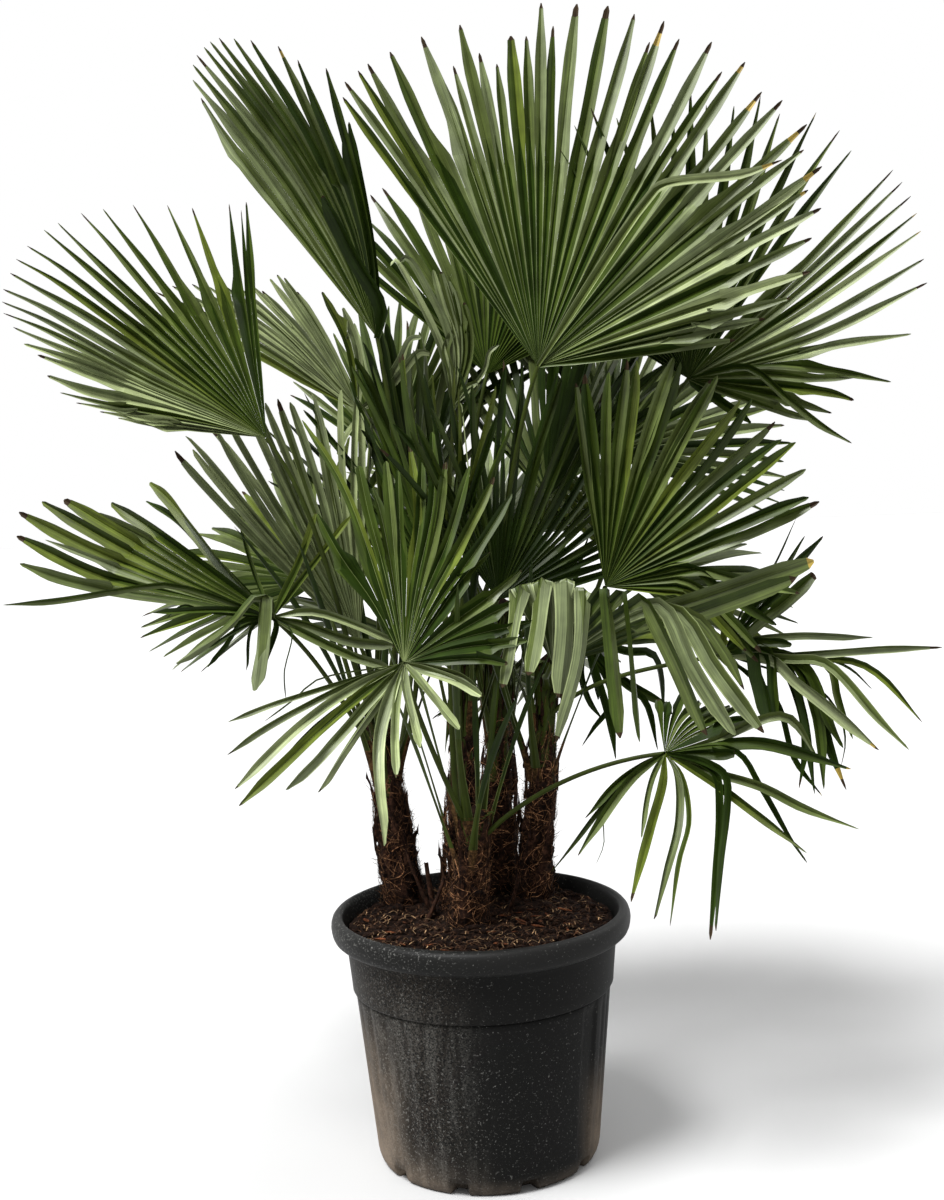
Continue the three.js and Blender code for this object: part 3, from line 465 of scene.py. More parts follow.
        ("grey", 17, 0.34, 1, 99, (-77, 534)), ("mid", 15, 0.34, 1, 99, (-31, 282), (-48, 515)),
        ("olive", 24, 0.5, 1.09, 111, (-22, 563)), ("mid", 18, 0.34, 1.05, 112, (4, 562)),
        ("grey", 20, 0.34, 1, 123, (32, 619)), ("dark", 17, 0.34, 1, 115, (31, 312), (51, 578)),
        ("grey", 22, 0.5, 1, 120, (93, 614)), ("mid", 22, 0.5, 1, 113, (145, 607)),
        ("grey", 21, 0.34, 1, 101, (100, 322), (188, 589)),
        ("mid", 16, 0.34, 1, 85, (120, 290), (211, 538)), ("grey", 20, 0.34, 1, 86, (236, 572)),
        ("mid", 18, 0.34, 1, 71, (145, 295), (259, 538)),
        ("grey", 21, 0.34, 1.0, 50, (174, 289), (310, 526)),
        ("mid", 16, 0.34, 1.0, 32, (174, 265), (323, 473)), ("grey", 20, 0.34, 1.0, 18, (359, 484)),
        ("mid", 17, 0.34, 1.0, -7, (216, 239), (381, 430)), ("grey", 18, 0.34, 1.0, -29, (410, 411)),
        ("grey", 18, 0.34, 1.0, -62, (442, 365)), ("grey", 16, 0.34, 1.0, -68, (240, 185), (435, 324)),
        ("light", 18, 0.34, 1.0, -93, (261, 164), (458, 293)), ("grey", 16, 0.34, 1.0, -86, (437, 258)),
        ("light", 17, 0.34, 1.0, -106, (253, 132), (453, 226)), ("grey", 16, 0.34, 1.0, -107, (437, 180)),
        ("light", 17, 0.34, 1.0, -116, (241, 75), (431, 126)), ("grey", 15, 0.34, 1.0, -104, (401, 87)),
        ("grey", 15, 0.34, 1.0, -87, (204, 35), (364, 57)), ("grey", 14, 0.34, 1.0, -69, (318, 26)),
        ("light", 16, 0.2, 0, -89, (180, 252), (207, 277), (338, 288), (396, 306)),
    ),
    "upper_right": (
        ("grey", 15, 0.2, 1, 8, (185, 167), (361, 342)), ("grey", 15, 0.2, 1, 2, (191, 156), (375, 320)),
        ("grey", 15, 0.2, 1, -4, (199, 144), (388, 295)),
        ("mid", 15, 0.2, 1, -10, (208, 126), (396, 265)),
        ("light", 15, 0.2, 1, -16, (211, 112), (401, 234)),
        ("grey", 16, 0.25, 1, -25, (218, 86), (403, 186)),
        ("light", 16, 0.25, 1, -33, (225, 65), (406, 145)),
        ("grey", 12, 0.2, 1, -33, (190, 37), (307, 56)),
        ("light", 15, 0.25, 1, -53, (138, 22), (237, 45), (372, 59)),
        ("mid", 14, 0.25, 1, -71, (125, 19), (233, 4), (332, -21)),
        ("grey", 13, 0.3, 1, -62, (128, 2), (210, -9), (285, -9)),
        ("olive", 15, 0.4, 1, -66, (231, -34), (270, -49)),
        ("mid", 13, 0.3, 1, -54, (135, -31), (235, -69)),
        ("grey", 13, 0.3, 1, -51, (105, -45), (202, -81)),
        ("mid", 13, 0.25, 0, -118, (84, 17), (110, 9), (161, -45), (207, -89), (253, -121)),
        ("dark", 15, 0.3, 1, -26, (102, -81)),
    ),
    "upper_left": (
        ("grey", 15, 0.4, 1.5, 62, (-128, 182), (-228, 322), (-291, 428)),
        ("grey", 15, 0.3, 1.5, 58, (-207, 331), (-303, 458)),
        ("mid", 15, 0.3, 1.5, 43, (-82, 164), (-184, 326), (-299, 480)),
        ("grey", 15, 0.3, 1.45, 26, (-72, 167), (-164, 326), (-289, 492)),
        ("mid", 15, 0.3, 1.4, 7, (-63, 169), (-149, 327), (-273, 500)),
        ("mid", 15, 0.3, 1.4, -8, (-54, 171), (-135, 332), (-260, 505)),
        ("mid", 15, 0.3, 1.2, -26, (-46, 173), (-120, 329), (-242, 506)),
        ("mid", 15, 0.3, 1.1, -50, (-39, 171), (-107, 326), (-214, 498)),
        ("dark", 16, 0.3, 1.05, -76, (-31, 173), (-89, 323), (-183, 488)),
        ("mid", 16, 0.3, 1, -112, (-23, 167), (-68, 304), (-135, 468)),
        ("dark", 16, 0.3, 1, -130, (-17, 159), (-46, 285), (-102, 441)),
        ("dark", 14, 0.3, 1, -105, (-6, 152), (-25, 279), (-59, 432)),
        ("deep", 16, 0.3, 0, -33, (-1, 138), (-30, 359)),
        ("deep", 18, 0.3, 0, -49, (-1, 129), (-25, 245), (-39, 346)),
        ("deep", 26, 0.4, 0, -127, (12, 52), (-24, 124), (-72, 225)),
    ),
}


def unit(v):
    """The same direction at length one."""
    return v / np.linalg.norm(v)


def compass(turn):
    """The level direction at a turn, or at each of many."""
    return np.stack([np.cos(turn), np.sin(turn), np.zeros_like(turn)], -1)


def round_grid(rows, columns):
    """Shares from 0 to 1 by row, and turns once round by column."""
    turns = np.linspace(0, TURN, columns, endpoint=False)
    return np.meshgrid(np.linspace(0, 1, rows), turns, indexing="ij")


def smooth(value, low, high):
    """A soft step from 0 at low to 1 at high."""
    t = np.clip((value - low) / (high - low), 0, 1)
    return t * t * (3 - 2 * t)


def lattice(cells):
    """A repeatable number between 0 and 1 for each whole-numbered cell."""
    wave = np.sin(cells @ np.array([127.1, 311.7, 74.7])) * 43758.5453
    return wave - np.floor(wave)


def value_noise(points, size):
    """Smooth noise between -1 and 1 with bumps of about the given size."""
    p = np.asarray(points) / size
    base = np.floor(p)
    t = p - base
    t = t * t * (3 - 2 * t)
    total = 0
    for corner in np.ndindex(2, 2, 2):
        weight = np.prod(np.where(corner, t, 1 - t), axis=-1)
        total = total + weight * lattice(base + corner)
    return 2 * total - 1


def rough_noise(points, size, octaves):
    """Several sizes of smooth noise laid on each other."""
    total = 0
    for k in range(octaves):
        total = total + value_noise(np.asarray(points) + 3.1 * k, size / 2 ** k) / 2 ** k
    return total


class Spray:
    """Many small grids of points that are joined into one piece."""

    def __init__(self):
        self.points = []
        self.faces = []
        self.places = []
        self.count = 0

    def add(self, grid, places=None, closed=False):
        """Adds a rows x columns x 3 grid; closed joins its last column to its first."""
        rows, columns = grid.shape[:2]
        self.points.append(grid.reshape(-1, 3))
        if places is None:
            places = np.zeros((rows, columns, 2))
        self.places.append(places.reshape(-1, 2))
        wide = columns if closed else columns - 1
        a = np.arange(rows - 1)[:, None] * columns + np.arange(wide)[None, :]
        b = np.arange(rows - 1)[:, None] * columns + (np.arange(wide)[None, :] + 1) % columns
        quads = np.stack([a, b, b + columns, a + columns], -1).reshape(-1, 4)
        self.faces.append(quads + self.count)
        self.count += rows * columns

    def piece(self, name, finish, slot, *nodes):
        """Makes the joined mesh, which rides on the plant and replaces the nodes."""
        points = np.concatenate(self.points)
        faces = np.concatenate(self.faces)
        places = np.concatenate(self.places)
        mesh = bpy.data.meshes.new(name)
        mesh.vertices.add(len(points))
        mesh.vertices.foreach_set("co", points.astype(np.float32).ravel())
        mesh.loops.add(faces.size)
        mesh.loops.foreach_set("vertex_index", faces.astype(np.int32).ravel())
        mesh.polygons.add(len(faces))
        mesh.polygons.foreach_set("loop_start", np.arange(0, faces.size, 4, dtype=np.int32))
        mesh.update(calc_edges=True)
        layer = mesh.uv_layers.new(name="UVMap")
        layer.data.foreach_set("uv", places[faces.ravel()].astype(np.float32).ravel())
        mesh.polygons.foreach_set("use_smooth", np.ones(len(faces), dtype=bool))
        mesh.validate()
        mesh.materials.append(finish)
        piece = bpy.data.objects.new(name, mesh)
        bpy.context.scene.collection.objects.link(piece)
        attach(piece, "root")
        if nodes:
            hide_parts(*nodes)


# Materials


class Paint:
    """A new material, with short ways to add nodes to it and to feed its shader."""

    def __init__(self, name):
        self.material = bpy.data.materials.new(name)
        self.material.use_nodes = True
        self.tree = self.material.node_tree
        self.shader = self.tree.nodes["Principled BSDF"]
        coords = self.node("ShaderNodeTexCoord")
        self.place, self.along = coords.outputs["Object"], coords.outputs["UV"]

    def feed(self, socket, value):
        """Sets a socket to a value, or links it to the socket that gives the value."""
        if isinstance(value, bpy.types.NodeSocket):
            self.tree.links.new(value, socket)
        else:
            socket.default_value = value

    def node(self, kind, inputs=None, **settings):
        """A new node with its inputs fed."""
        made = self.tree.nodes.new(kind)
        for key, value in settings.items():
            setattr(made, key, value)
        for key, value in (inputs or {}).items():
            self.feed(made.inputs[key], value)
        return made

    def noise(self, place, scale, detail=2.0, roughness=0.5):
        """A noise between 0 and 1."""
        inputs = {"Vector": place, "Scale": scale, "Detail": detail, "Roughness": roughness}
        return self.node("ShaderNodeTexNoise", inputs).outputs["Fac"]

    def streaks(self, place, scale, detail):
        """A noise that is drawn out, with its scale along each axis."""
        drawn_out = self.node("ShaderNodeMapping", {"Vector": place, "Scale": scale}).outputs["Vector"]
        return self.noise(drawn_out, 1.0, detail)

    def sums(self, kind, *values):
        """Values that are added, multiplied or compared one after the other."""
        total = values[0]
        for value in values[1:]:
            total = self.node("ShaderNodeMath", {0: total, 1: value}, operation=kind).outputs[0]
        return total

    def band(self, value, low, high, start=0.0, stop=1.0):
        """Goes softly from start to stop while the value goes from low to high."""
        inputs = {"Value": value, "From Min": low, "From Max": high, "To Min": start, "To Max": stop}
        return self.node("ShaderNodeMapRange", inputs, interpolation_type="SMOOTHSTEP").outputs["Result"]

    def ramp(self, factor, color, stops):
        """One colour, darker or lighter at (position, strength) stops."""
        made = self.node("ShaderNodeValToRGB", {"Fac": factor})
        elements = made.color_ramp.elements
        while len(elements) < len(stops):
            elements.new(0.5)
        for element, (position, strength) in zip(elements, stops):
            element.position = position
            element.color = shade(color, strength)
        return made.outputs["Color"]

    def mix(self, factor, one, other):
        """One colour, and the other where the factor is 1."""
        return self.node("ShaderNodeMix", {"Factor": factor, 6: one, 7: other}, data_type="RGBA").outputs[2]

    def finish(self, color, roughness, sheen, relief=None):
        """Gives the finished material; relief is the height of its bump, with the strength and distance."""
        if relief:
            bump = self.node("ShaderNodeBump", dict(zip(("Height", "Strength", "Distance"), relief)))
            self.feed(self.shader.inputs["Normal"], bump.outputs["Normal"])
        self.feed(self.shader.inputs["Base Color"], color)
        self.feed(self.shader.inputs["Roughness"], roughness)
        self.feed(self.shader.inputs["Specular IOR Level"], sheen)
        return self.material


def shade(color, factor):
    """The colour made darker or lighter."""
    return tuple(min(1.0, c * factor) for c in color[:3]) + (1.0,)


def leaf_material(name, color, roughness, sheen):
    """Leaf blade: coarse and fine veins along the leaflet, soft blotches and a waxy sheen."""
    paint = Paint(name)
    fine = paint.streaks(paint.along, (1000, 14, 1), 2.0)
    coarse = paint.streaks(paint.along, (330, 5, 1), 2.0)
    blotch = paint.noise(paint.place, 24.0, 4.0)
    veins = paint.sums("ADD", paint.sums("MULTIPLY", fine, 0.36), paint.sums("MULTIPLY", coarse, 0.36))
    both = paint.sums("ADD", veins, paint.sums("MULTIPLY", blotch, 0.28))
    tone = paint.ramp(both, color, ((0.36, 0.45), (0.46, 0.85), (0.54, 1.15), (0.66, 1.9)))
    return paint.finish(tone, roughness, sheen, (coarse, 0.35, 0.0008))


def fibre_material(name, color):
    """Dry fibre or bark: strong fine variation of tone."""
    paint = Paint(name)
    fine = paint.noise(paint.place, 140.0, 5.0, 0.65)
    tone = paint.ramp(fine, color, ((0.36, 0.25), (0.5, 0.9), (0.64, 2.4)))
    return paint.finish(tone, 0.9, 0.08, (fine, 0.5, 0.002))


def soil_material(name, color):
    """Moist peat with dark pores and pale crumbs."""
    paint = Paint(name)
    crumbs = paint.noise(paint.place, 120.0, 7.0, 0.8)
    tone = paint.ramp(crumbs, color, ((0.38, 0.12), (0.5, 0.8), (0.6, 2.0), (0.7, 5.0)))
    return paint.finish(tone, 0.95, 0.1, (crumbs, 1.0, 0.008))


def pot_dirt(paint, across, height, streak, fine, dirty):
    """How thickly dried soil lies on the container, from 0 to 1."""
    sums, band = paint.sums, paint.band
    cloud = paint.noise(paint.place, 9.0, 5.0, 0.7)
    left = sums("MULTIPLY", band(across, -0.115, -0.205), band(height, 0.33, 0.10))
    low_left = sums("MULTIPLY", band(across, 0.03, -0.17), band(height, 0.10, -0.03))
    right = sums("MULTIPLY", band(across, 0.145, 0.195, 0.0, 0.75), band(height, 0.21, 0.05))
    foot = band(height, 0.035, 0.0, 0.0, 0.3)
    gathered = sums("ADD", left, low_left, right, foot)
    uneven = sums("ADD", band(cloud, 0.3, 0.7, 0.45, 1.05), band(streak, 0.35, 0.65, -0.12, 0.12))
    soiled = sums("MULTIPLY", gathered, uneven, band(fine, 0.3, 0.7, 0.75, 1.25), dirty)
    haze = sums("MULTIPLY", band(across, 0.02, -0.13, 0.0, 0.14), band(fine, 0.42, 0.62), dirty)
    return sums("MINIMUM", sums("MAXIMUM", soiled, haze), 1.0)


def pot_marks(paint, across, height, streak, fine):
    """How strong the pale specks, smears and water marks on the container are."""
    sums, band = paint.sums, paint.band
    near = sums("ADD", band(across, 0.06, -0.17, 0.0, 0.07), band(height, 0.4, 0.15, 0.0, 0.02))
    grains = paint.noise(paint.place, 250.0, 3.0, 0.7)
    speck = band(sums("ADD", grains, near), 0.62, 0.74, 0.0, 0.60)
    film = sums("MULTIPLY", band(across, 0.03, -0.12, 0.0, 0.30), band(height, 0.38, 0.26),
                band(streak, 0.42, 0.62), band(fine, 0.40, 0.60))
    upper = band(height, 0.30, 0.33, -1.0, 0.0)
    smear = band(sums("ADD", paint.noise(paint.place, 38.0, 4.0, 0.6), upper), 0.72, 0.76, 0.0, 0.14)
    return sums("MAXIMUM", speck, smear, film)


def pot_material(name, color, dust, dirty, gloss):
    """Moulded plastic; dirty is how much dried soil clings to its sides and foot, and gloss the sheen."""
    paint = Paint(name)
    parts = paint.node("ShaderNodeSeparateXYZ", {"Vector": paint.place})
    across, height = parts.outputs["X"], parts.outputs["Z"]
    streak = paint.streaks(paint.place, (60, 60, 5), 4.0)
    fine = paint.noise(paint.place, 300.0, 4.0, 0.8)
    dirt = pot_dirt(paint, across, height, streak, fine, dirty)
    plastic = paint.mix(pot_marks(paint, across, height, streak, fine), shade(color, 1), POT_MARK)
    mixed = paint.mix(dirt, plastic, shade(dust, 1))
    relief = (paint.noise(paint.place, 420.0, 2.0, 0.7), 0.15, 0.0006)
    return paint.finish(mixed, paint.band(dirt, 0.0, 1.0, 0.5, 0.95), gloss, relief)


# Container


def panel_relief(bearing, height):
    """Outward relief of the wall below its collar; bearing is in degrees from the front, to the right."""
    body = smooth(height, 0.02, 0.05) * (1 - smooth(height, 0.285, 0.302))
    around = (bearing + 78) % 180 - 78
    flutes = 1.3 * smooth(around, -78, -66) * (1 - smooth(around, -20, 2))
    ribs = smooth(around, 60, 63) * (1 - smooth(around, 92, 100))
    pitch = np.where(around < 0, 11.0, 7.0)
    wave = np.abs(np.cos(np.radians(around * 180 / pitch))) ** 0.5 * 2 - 1
    strip = smooth(around, 48.5, 49.5) * (1 - smooth(around, 58, 60))
    return body * (FLUTE_DEPTH * (flutes + ribs) * (wave - 1) - STRIP_DEPTH * strip)


def outline_run(start, end, steps):
    """Points of the outline that lead from a start, which is left out, to an end."""
    shares = [k / steps for k in range(1, steps + 1)]
    return [(start[0] + t * (end[0] - start[0]), start[1] + t * (end[1] - start[1])) for t in shares]


def pot_outline():
    """Radius and height from under the foot up the outside, over the lip and down to below the soil."""
    foot, body_foot = POT["foot_radius"], (POT["body_foot_radius"], POT["foot_height"])
    shoulder = (POT["shoulder_radius"], POT["shoulder_height"])
    outline = [(0.0, 0.0), (foot * 0.5, 0.0), (foot, 0.0), *FOOT_EDGE, body_foot]
    outline += outline_run(body_foot, shoulder, 24)
    collar = (POT["collar_radius"], POT["collar_start"])
    collar_top = (POT["collar_top_radius"], LIP_UNDER - 0.001)
    outline += [*COLLAR_STEP, (POT["collar_radius"], POT["collar_foot"])]
    outline += outline_run(collar, collar_top, 6)
    mouth = POT["mouth_radius"]
    outline += [*ROLLED_LIP, (mouth + 0.003, POT["height"]), (mouth, POT["mouth_height"]), *INSIDE]
    return np.array(outline)


def pot_grid(turns):
    """Rows of points along the outline, turned about the container's axis."""
    outline = pot_outline()
    rows, columns = np.ones((len(outline), 1)), np.ones(len(turns))
    radii, heights = outline[:, :1] * columns, outline[:, 1:] * columns
    bearing = np.degrees((turns + math.pi / 2 + math.pi) % TURN - math.pi) * rows
    outside = (np.arange(len(outline)) < LIP_ROW)[:, None]
    radii = radii + np.where(outside, panel_relief(bearing, heights), 0)
    radii = radii * (1 + POT_UNEVEN * value_noise(compass(turns) * 2.0, 0.8))
    for k in range(DRAIN["count"]):
        middle = math.radians(DRAIN["tilt"]) + TURN * k / DRAIN["count"]
        off = np.abs((turns - middle + math.pi) % TURN - math.pi) * DRAIN["radius"]
        wall = outside & (heights < DRAIN["height"]) & (radii > DRAIN["inner_radius"])
        radii = np.where(wall & (off < DRAIN["half_width"]), radii - DRAIN["depth"], radii)
    return np.stack([radii * np.cos(turns), radii * np.sin(turns), heights], -1)


# Growing medium


def soil_height(flat, level, lumps):
    """Height of the soil at flat points: a level with lumps on it, and a mound round each stem."""
    height = level + lumps * rough_noise(flat, LUMP_SIZE, 4)
    for stem in STEMS.values():
        away = np.hypot(flat[..., 0] - stem["foot"][0], flat[..., 1] - stem["foot"][1])
        height = height + MOUND_HEIGHT * np.exp(-(away / MOUND_RADIUS) ** 2)
    return height


def soil_grid(lumps):
    """Rows of points from the middle of the soil out to its edge, and down the wall of the container."""
    share, turn = round_grid(90, 220)
    flat = compass(turn) * (share * SOIL_RADIUS)[..., None]
    top = flat + UP * soil_height(flat, SOIL_TOP - 0.004, lumps)[..., None]
    skirt = top[-1] * np.array([1, 1, 0]) + UP * SOIL_SKIRT
    return np.concatenate([top, skirt[None]])


def soil_spot(random, share):
    """A random flat place within a share of the soil's radius."""
    away = SOIL_RADIUS * math.sqrt(random.random()) * share
    return away * compass(random.uniform(0, TURN))


def clod(random, lumps):
    """A small uneven ball of peat."""
    spot = soil_spot(random, 0.97)
    size = random.uniform(0.0015, 0.0075) * random.uniform(0.4, 1.2)
    centre = spot + UP * soil_height(spot, SOIL_TOP - 0.003, lumps)
    polar = np.linspace(0, math.pi, 6)[:, None]
    spin = np.linspace(0, TURN, 8, endpoint=False)[None]
    ball = np.stack([np.sin(polar) * np.cos(spin), np.sin(polar) * np.sin(spin),
                     np.cos(polar) * np.ones_like(spin)], -1)
    ball = ball * (1 + 0.35 * value_noise(ball + centre * 300, 0.9)[..., None])
    return centre + ball * size * np.array([1.2, 1.0, 0.75])


def straw(random):
    """A thin bent straw."""
    centre = soil_spot(random, 0.95) + UP * (SOIL_TOP + 0.004)
    t = np.linspace(-1, 1, 7)
    spin = random.uniform(0, TURN)
    length = random.uniform(0.003, 0.011)
    along, aside = t * length, random.uniform(-0.7, 0.7) * length * t * t
    path = np.stack([along * math.cos(spin) - aside * math.sin(spin),
                     along * math.sin(spin) + aside * math.cos(spin), 0.002 * np.cos(t * 2)], -1)
    half = np.full(7, random.uniform(0.0003, 0.0009))
    return ribbon(centre + path, np.cross(np.gradient(path, axis=0), UP), half)


def chip(random):
    """A flat chip of bark."""
    centre = soil_spot(random, 0.93) + UP * (SOIL_TOP + 0.003)
    spin = random.uniform(0, TURN)
    ahead = np.array([math.cos(spin), math.sin(spin), random.uniform(-0.3, 0.3)])
    t = np.linspace(-1, 1, 5)
    line = centre + np.outer(t * random.uniform(0.005, 0.013), ahead)
    wide = random.uniform(0.002, 0.005) * (1 - 0.6 * t ** 2)
    return tube(line, wide, wide * 0.4, 6)


# Stems


def stem_height(stem):
    """How far a stem's tip stands above the soil."""
    return stem["tip"][2] - SOIL_TOP


def stem_axis(stem, share):
    """Axis points of a stem at shares of its height, and its radii there."""
    share = np.asarray(share, dtype=float)
    low = np.array([*stem["foot"], SOIL_TOP])
    high = np.array(stem["tip"])
    rise = share * stem_height(stem)
    radius = stem["radii"][0] + (stem["radii"][1] - stem["radii"][0]) * share
    radius = radius * (1 + STEM_FLARE * np.exp(-rise / STEM_FLARE_HEIGHT))
    radius = radius * (1 - STEM_WAIST * smooth(rise, WAIST_FROM, WAIST_TO))
    return low + share[..., None] * (high - low), radius


def stem_points(stem, share, turn, out):
    """Points on a stem's surface, the given distance out from it."""
    centre, radius = stem_axis(stem, share)
    return centre + compass(turn) * (radius + out)[..., None]


def stem_core(stem, seed):
    """Relief of packed fibre mats and overlapping leaf bases."""
    share, turn = round_grid(120, 64)
    base = stem_points(stem, share, turn, np.zeros_like(share))
    squeezed = base * np.array([1, 1, 0.5]) + seed
    height = share * stem_height(stem)
    wrap = (height / MAT_PITCH + turn / TURN * 2 + 0.5 * value_noise(base + seed, 0.05)) % 1
    lumps = 0.006 * rough_noise(squeezed, 0.026, 4)
    grain = 0.004 * rough_noise(base + seed, 0.008, 2)
    mats = 0.008 * (wrap - 0.6)
    core = stem_points(stem, share, turn, lumps + grain + mats)
    top = np.array(stem["tip"]) + UP * CAP_HEIGHT
    cap = core[-1] * 0.4 + top * 0.6
    return np.concatenate([core, cap[None], np.full((1, *cap.shape), top)])


def ribbon(line, side, half):
    """A flat strip along a line: rows x 2 x 3."""
    side = side / np.linalg.norm(side, axis=-1, keepdims=True)
    half = np.asarray(half)[..., None]
    return np.stack([line - side * half, line + side * half], 1)


def fibre_strip(stem, random, loose):
    """One curly fibre that hugs the stem and lifts off at its ends."""
    steps = 8
    tall = stem_height(stem)
    share = random.uniform(-0.02, min(1.0, FIBRE_TOP / tall))
    turn = random.uniform(0, TURN)
    slope = random.choice([-1, 1]) * random.uniform(0.1, 1.4)
    length = random.uniform(0.015, 0.065)
    t = np.linspace(0, 1, steps)
    curl = random.uniform(-2.6, 2.6)
    angle = math.pi / 2 - slope + curl * (t - 0.5)
    along = np.cumsum(np.sin(angle)) * length / steps
    around = np.cumsum(np.cos(angle)) * length / steps
    shares = np.clip(share + along / tall, 0, 1)
    lift = random.uniform(0.001, 0.007) + 0.003 * np.sin(t * math.pi)
    lift = lift + loose * random.uniform(0.2, 1.0) * t ** 2
    line = stem_points(stem, shares, turn + around / FIBRE_RADIUS, lift)
    ahead = np.gradient(line, axis=0)
    out = line - stem_axis(stem, shares)[0]
    side = np.cross(ahead, out) + out * random.uniform(-0.5, 0.5) * np.linalg.norm(ahead, axis=1)[:, None]
    return ribbon(line, side, random.uniform(0.0003, 0.0009) * (1 - 0.75 * t))


def stray_hair(stem, random):
    """A short hair that stands out from the stem and bends down or up."""
    t = np.linspace(0, 1, 6)
    share, turn = random.uniform(0.02, 1.0), random.uniform(0, TURN)
    length = random.uniform(0.008, 0.030)
    away = compass(turn)
    around = np.cross(UP, away)
    start = stem_points(stem, share, turn, 0.001)
    rise = UP * random.uniform(-0.9, 0.9)
    line = (start + np.outer(t * length, away * 0.7) + np.outer(t ** 2 * length, rise)
            + np.outer(t ** 1.5 * length, around * random.uniform(-0.8, 0.8)))
    half = random.uniform(0.0004, 0.0009) * (1 - 0.8 * t)
    return ribbon(line, np.cross(np.gradient(line, axis=0), away + 0.4 * UP), half)


def stub(random, foot, lean, length):
    """A dead, cut-off stalk: seven-sided and ragged at its end."""
    t = np.linspace(0, 1, 9)
    line = np.array(foot) + np.outer(t * length, unit(np.array(lean))) + np.outer(t ** 2 * length * 0.2, UP)
    wide = STUB_HALF * (1 - 0.45 * t) * (1 + 0.12 * random.normal(size=9))
    grid = tube(line, wide, wide * 0.7, 7)
    grid[-1] += 0.006 * random.random((7, 1)) * UP
    return grid


def leaf_base(stem, random, share, turn, length):
    """A narrow sheath of an old leaf, clasping the stem and torn at its tip."""
    rows, columns = 10, 7
    t = np.linspace(0, 1, rows)[:, None] * np.ones(columns)
    u = np.linspace(-1, 1, columns)[None, :] * np.ones(rows)[:, None]
    width = random.uniform(0.28, 0.55)
    lean = random.uniform(-0.35, 0.35)
    half = width * (1 - 0.8 * t ** 1.2)
    torn = 1 + 0.25 * random.normal(size=columns)[None, :] * t ** 4
    shares = np.clip(share + t * torn * length / stem_height(stem), 0, 1)
    out = 0.002 + random.uniform(0.003, 0.012) * t ** 1.8 + 0.003 * (1 - u * u)
    grid = stem_points(stem, shares, turn + u * half + lean * t, out)
    return grid + 0.0022 * rough_noise(grid, 0.010, 2)[..., None]


# Fronds

# Stations along a leaflet, in shares of its fused length and then of its free length, and the last fused one
FUSED_STATIONS = np.linspace(0.0, 1.0, 8)
FREE_STATIONS = np.array([0.04, 0.09, 0.15, 0.22, 0.30, 0.39, 0.48, 0.57, 0.66, 0.75, 0.84, 0.92, 0.965, 1.0])
JOINT = len(FUSED_STATIONS) - 1
# Steps along a leaflet of the rule, and along a measured one, whose curve is drawn in finer steps first
LINE_STEPS = 10
DRAWN_STEPS = 48
DENSE_STEPS = 150
# A measured line is creased where the cosine of its turn is below this
FOLDED = -0.1
# The largest share of a measured leaflet that is fused
LARGEST_CUT = 0.68
# How much the leaflets of the rule differ in length, and broken ones in where they bend, and the share of
# the length that bends there
LENGTH_SCATTER = 0.04
SNAP_SCATTER = 0.12
SNAP_LENGTH = 0.16
# How far leaflets stray where they stand loosely: in the fan's plane, then in shares of their length to the
# side and down, and in radians by a twist where they come free and by a curl towards the tip
STRAY = dict(aside=0.16, sway=0.016, drop=0.022, twist=0.22, curl=0.3)
DRAWN_TWIST = 0.15
DRAWN_CURL = 0.2
# The shares of their free length that neighbours stay joined: at most this, and more for some
LATE = 0.08
LATER = (0.1, 0.3)
LATER_SHARE = 0.2
# How many widths off a margin may lie for leaflets to be joined there
RULE_ROOM = 0.6
DRAWN_ROOM = 1.3
# The least half width towards the tip, and half the thickness of a raised rib
THINNEST = 0.0007
RIB_HALF = 0.0008
# How much of a half lies inside its painted highlight along the margin, or else inside its painted highlight
# along the ridge
RIM_HIGHLIGHT_SHARE = 0.86
RIDGE_HIGHLIGHT_SHARE = 0.9
# The chance of a yellow row before the end where all ends are brown, and the chance that a half which faces
# away from the light is painted darker as shade
FADED = 0.35
SHADED = 0.7


def scatter(number, leaflet, use):
    """A repeatable number between -1 and 1 for each leaflet."""
    wave = math.sin(number * 12.9898 + leaflet * 78.233 + use * 37.719) * 43758.5453
    return 2 * (wave - math.floor(wave)) - 1


def blade_frame(frond):
    """Axis, side and face directions of a blade."""
    right, front, turn = (math.radians(frond[key]) for key in ("lean", "toward", "roll"))
    axis = np.array([math.sin(right) * math.cos(front), -math.sin(front), math.cos(right) * math.cos(front)])
    face = unit(FRONT - axis * (FRONT @ axis))
    side = np.cross(axis, face)
    return axis, side * math.cos(turn) - face * math.sin(turn), face * math.cos(turn) + side * math.sin(turn)


def leaf_line(frond, number, leaflet, portion):
    """The line of one leaflet from the hub to its tip."""
    axis, side, face = blade_frame(frond)
    low, high = frond["span"]
    angle = low + (high - low) * portion
    theta = math.radians(angle)
    fold = math.radians(frond["fold"])
    heading = axis * math.cos(theta) + side * math.sin(theta) * math.cos(fold)
    heading = unit(heading + face * abs(math.sin(theta)) * math.sin(fold))
    across = 2 * portion - 1
    edge = frond["edge"][1] if across > 0 else frond["edge"][0]
    snap_from, snap_to, snap_at, pull, kept = frond["snap"]
    snapped = snap_from <= angle <= snap_to
    length = frond["reach"] * (1 - edge * across ** 2) * (1 + LENGTH_SCATTER * scatter(number, leaflet, 2))
    length *= kept if snapped else 1
    break_at = snap_at * (1 + SNAP_SCATTER * scatter(number, leaflet, 3))
    line = [np.array(frond["hub"])]
    for step in range(LINE_STEPS):
        share = (step + 0.5) / LINE_STEPS
        breaks = snapped and break_at <= share < break_at + SNAP_LENGTH
        heading = unit(heading - UP * (2 * frond["droop"] * share / LINE_STEPS + (pull if breaks else 0)))
        line.append(line[-1] + heading * length / LINE_STEPS)
    return np.array(line)


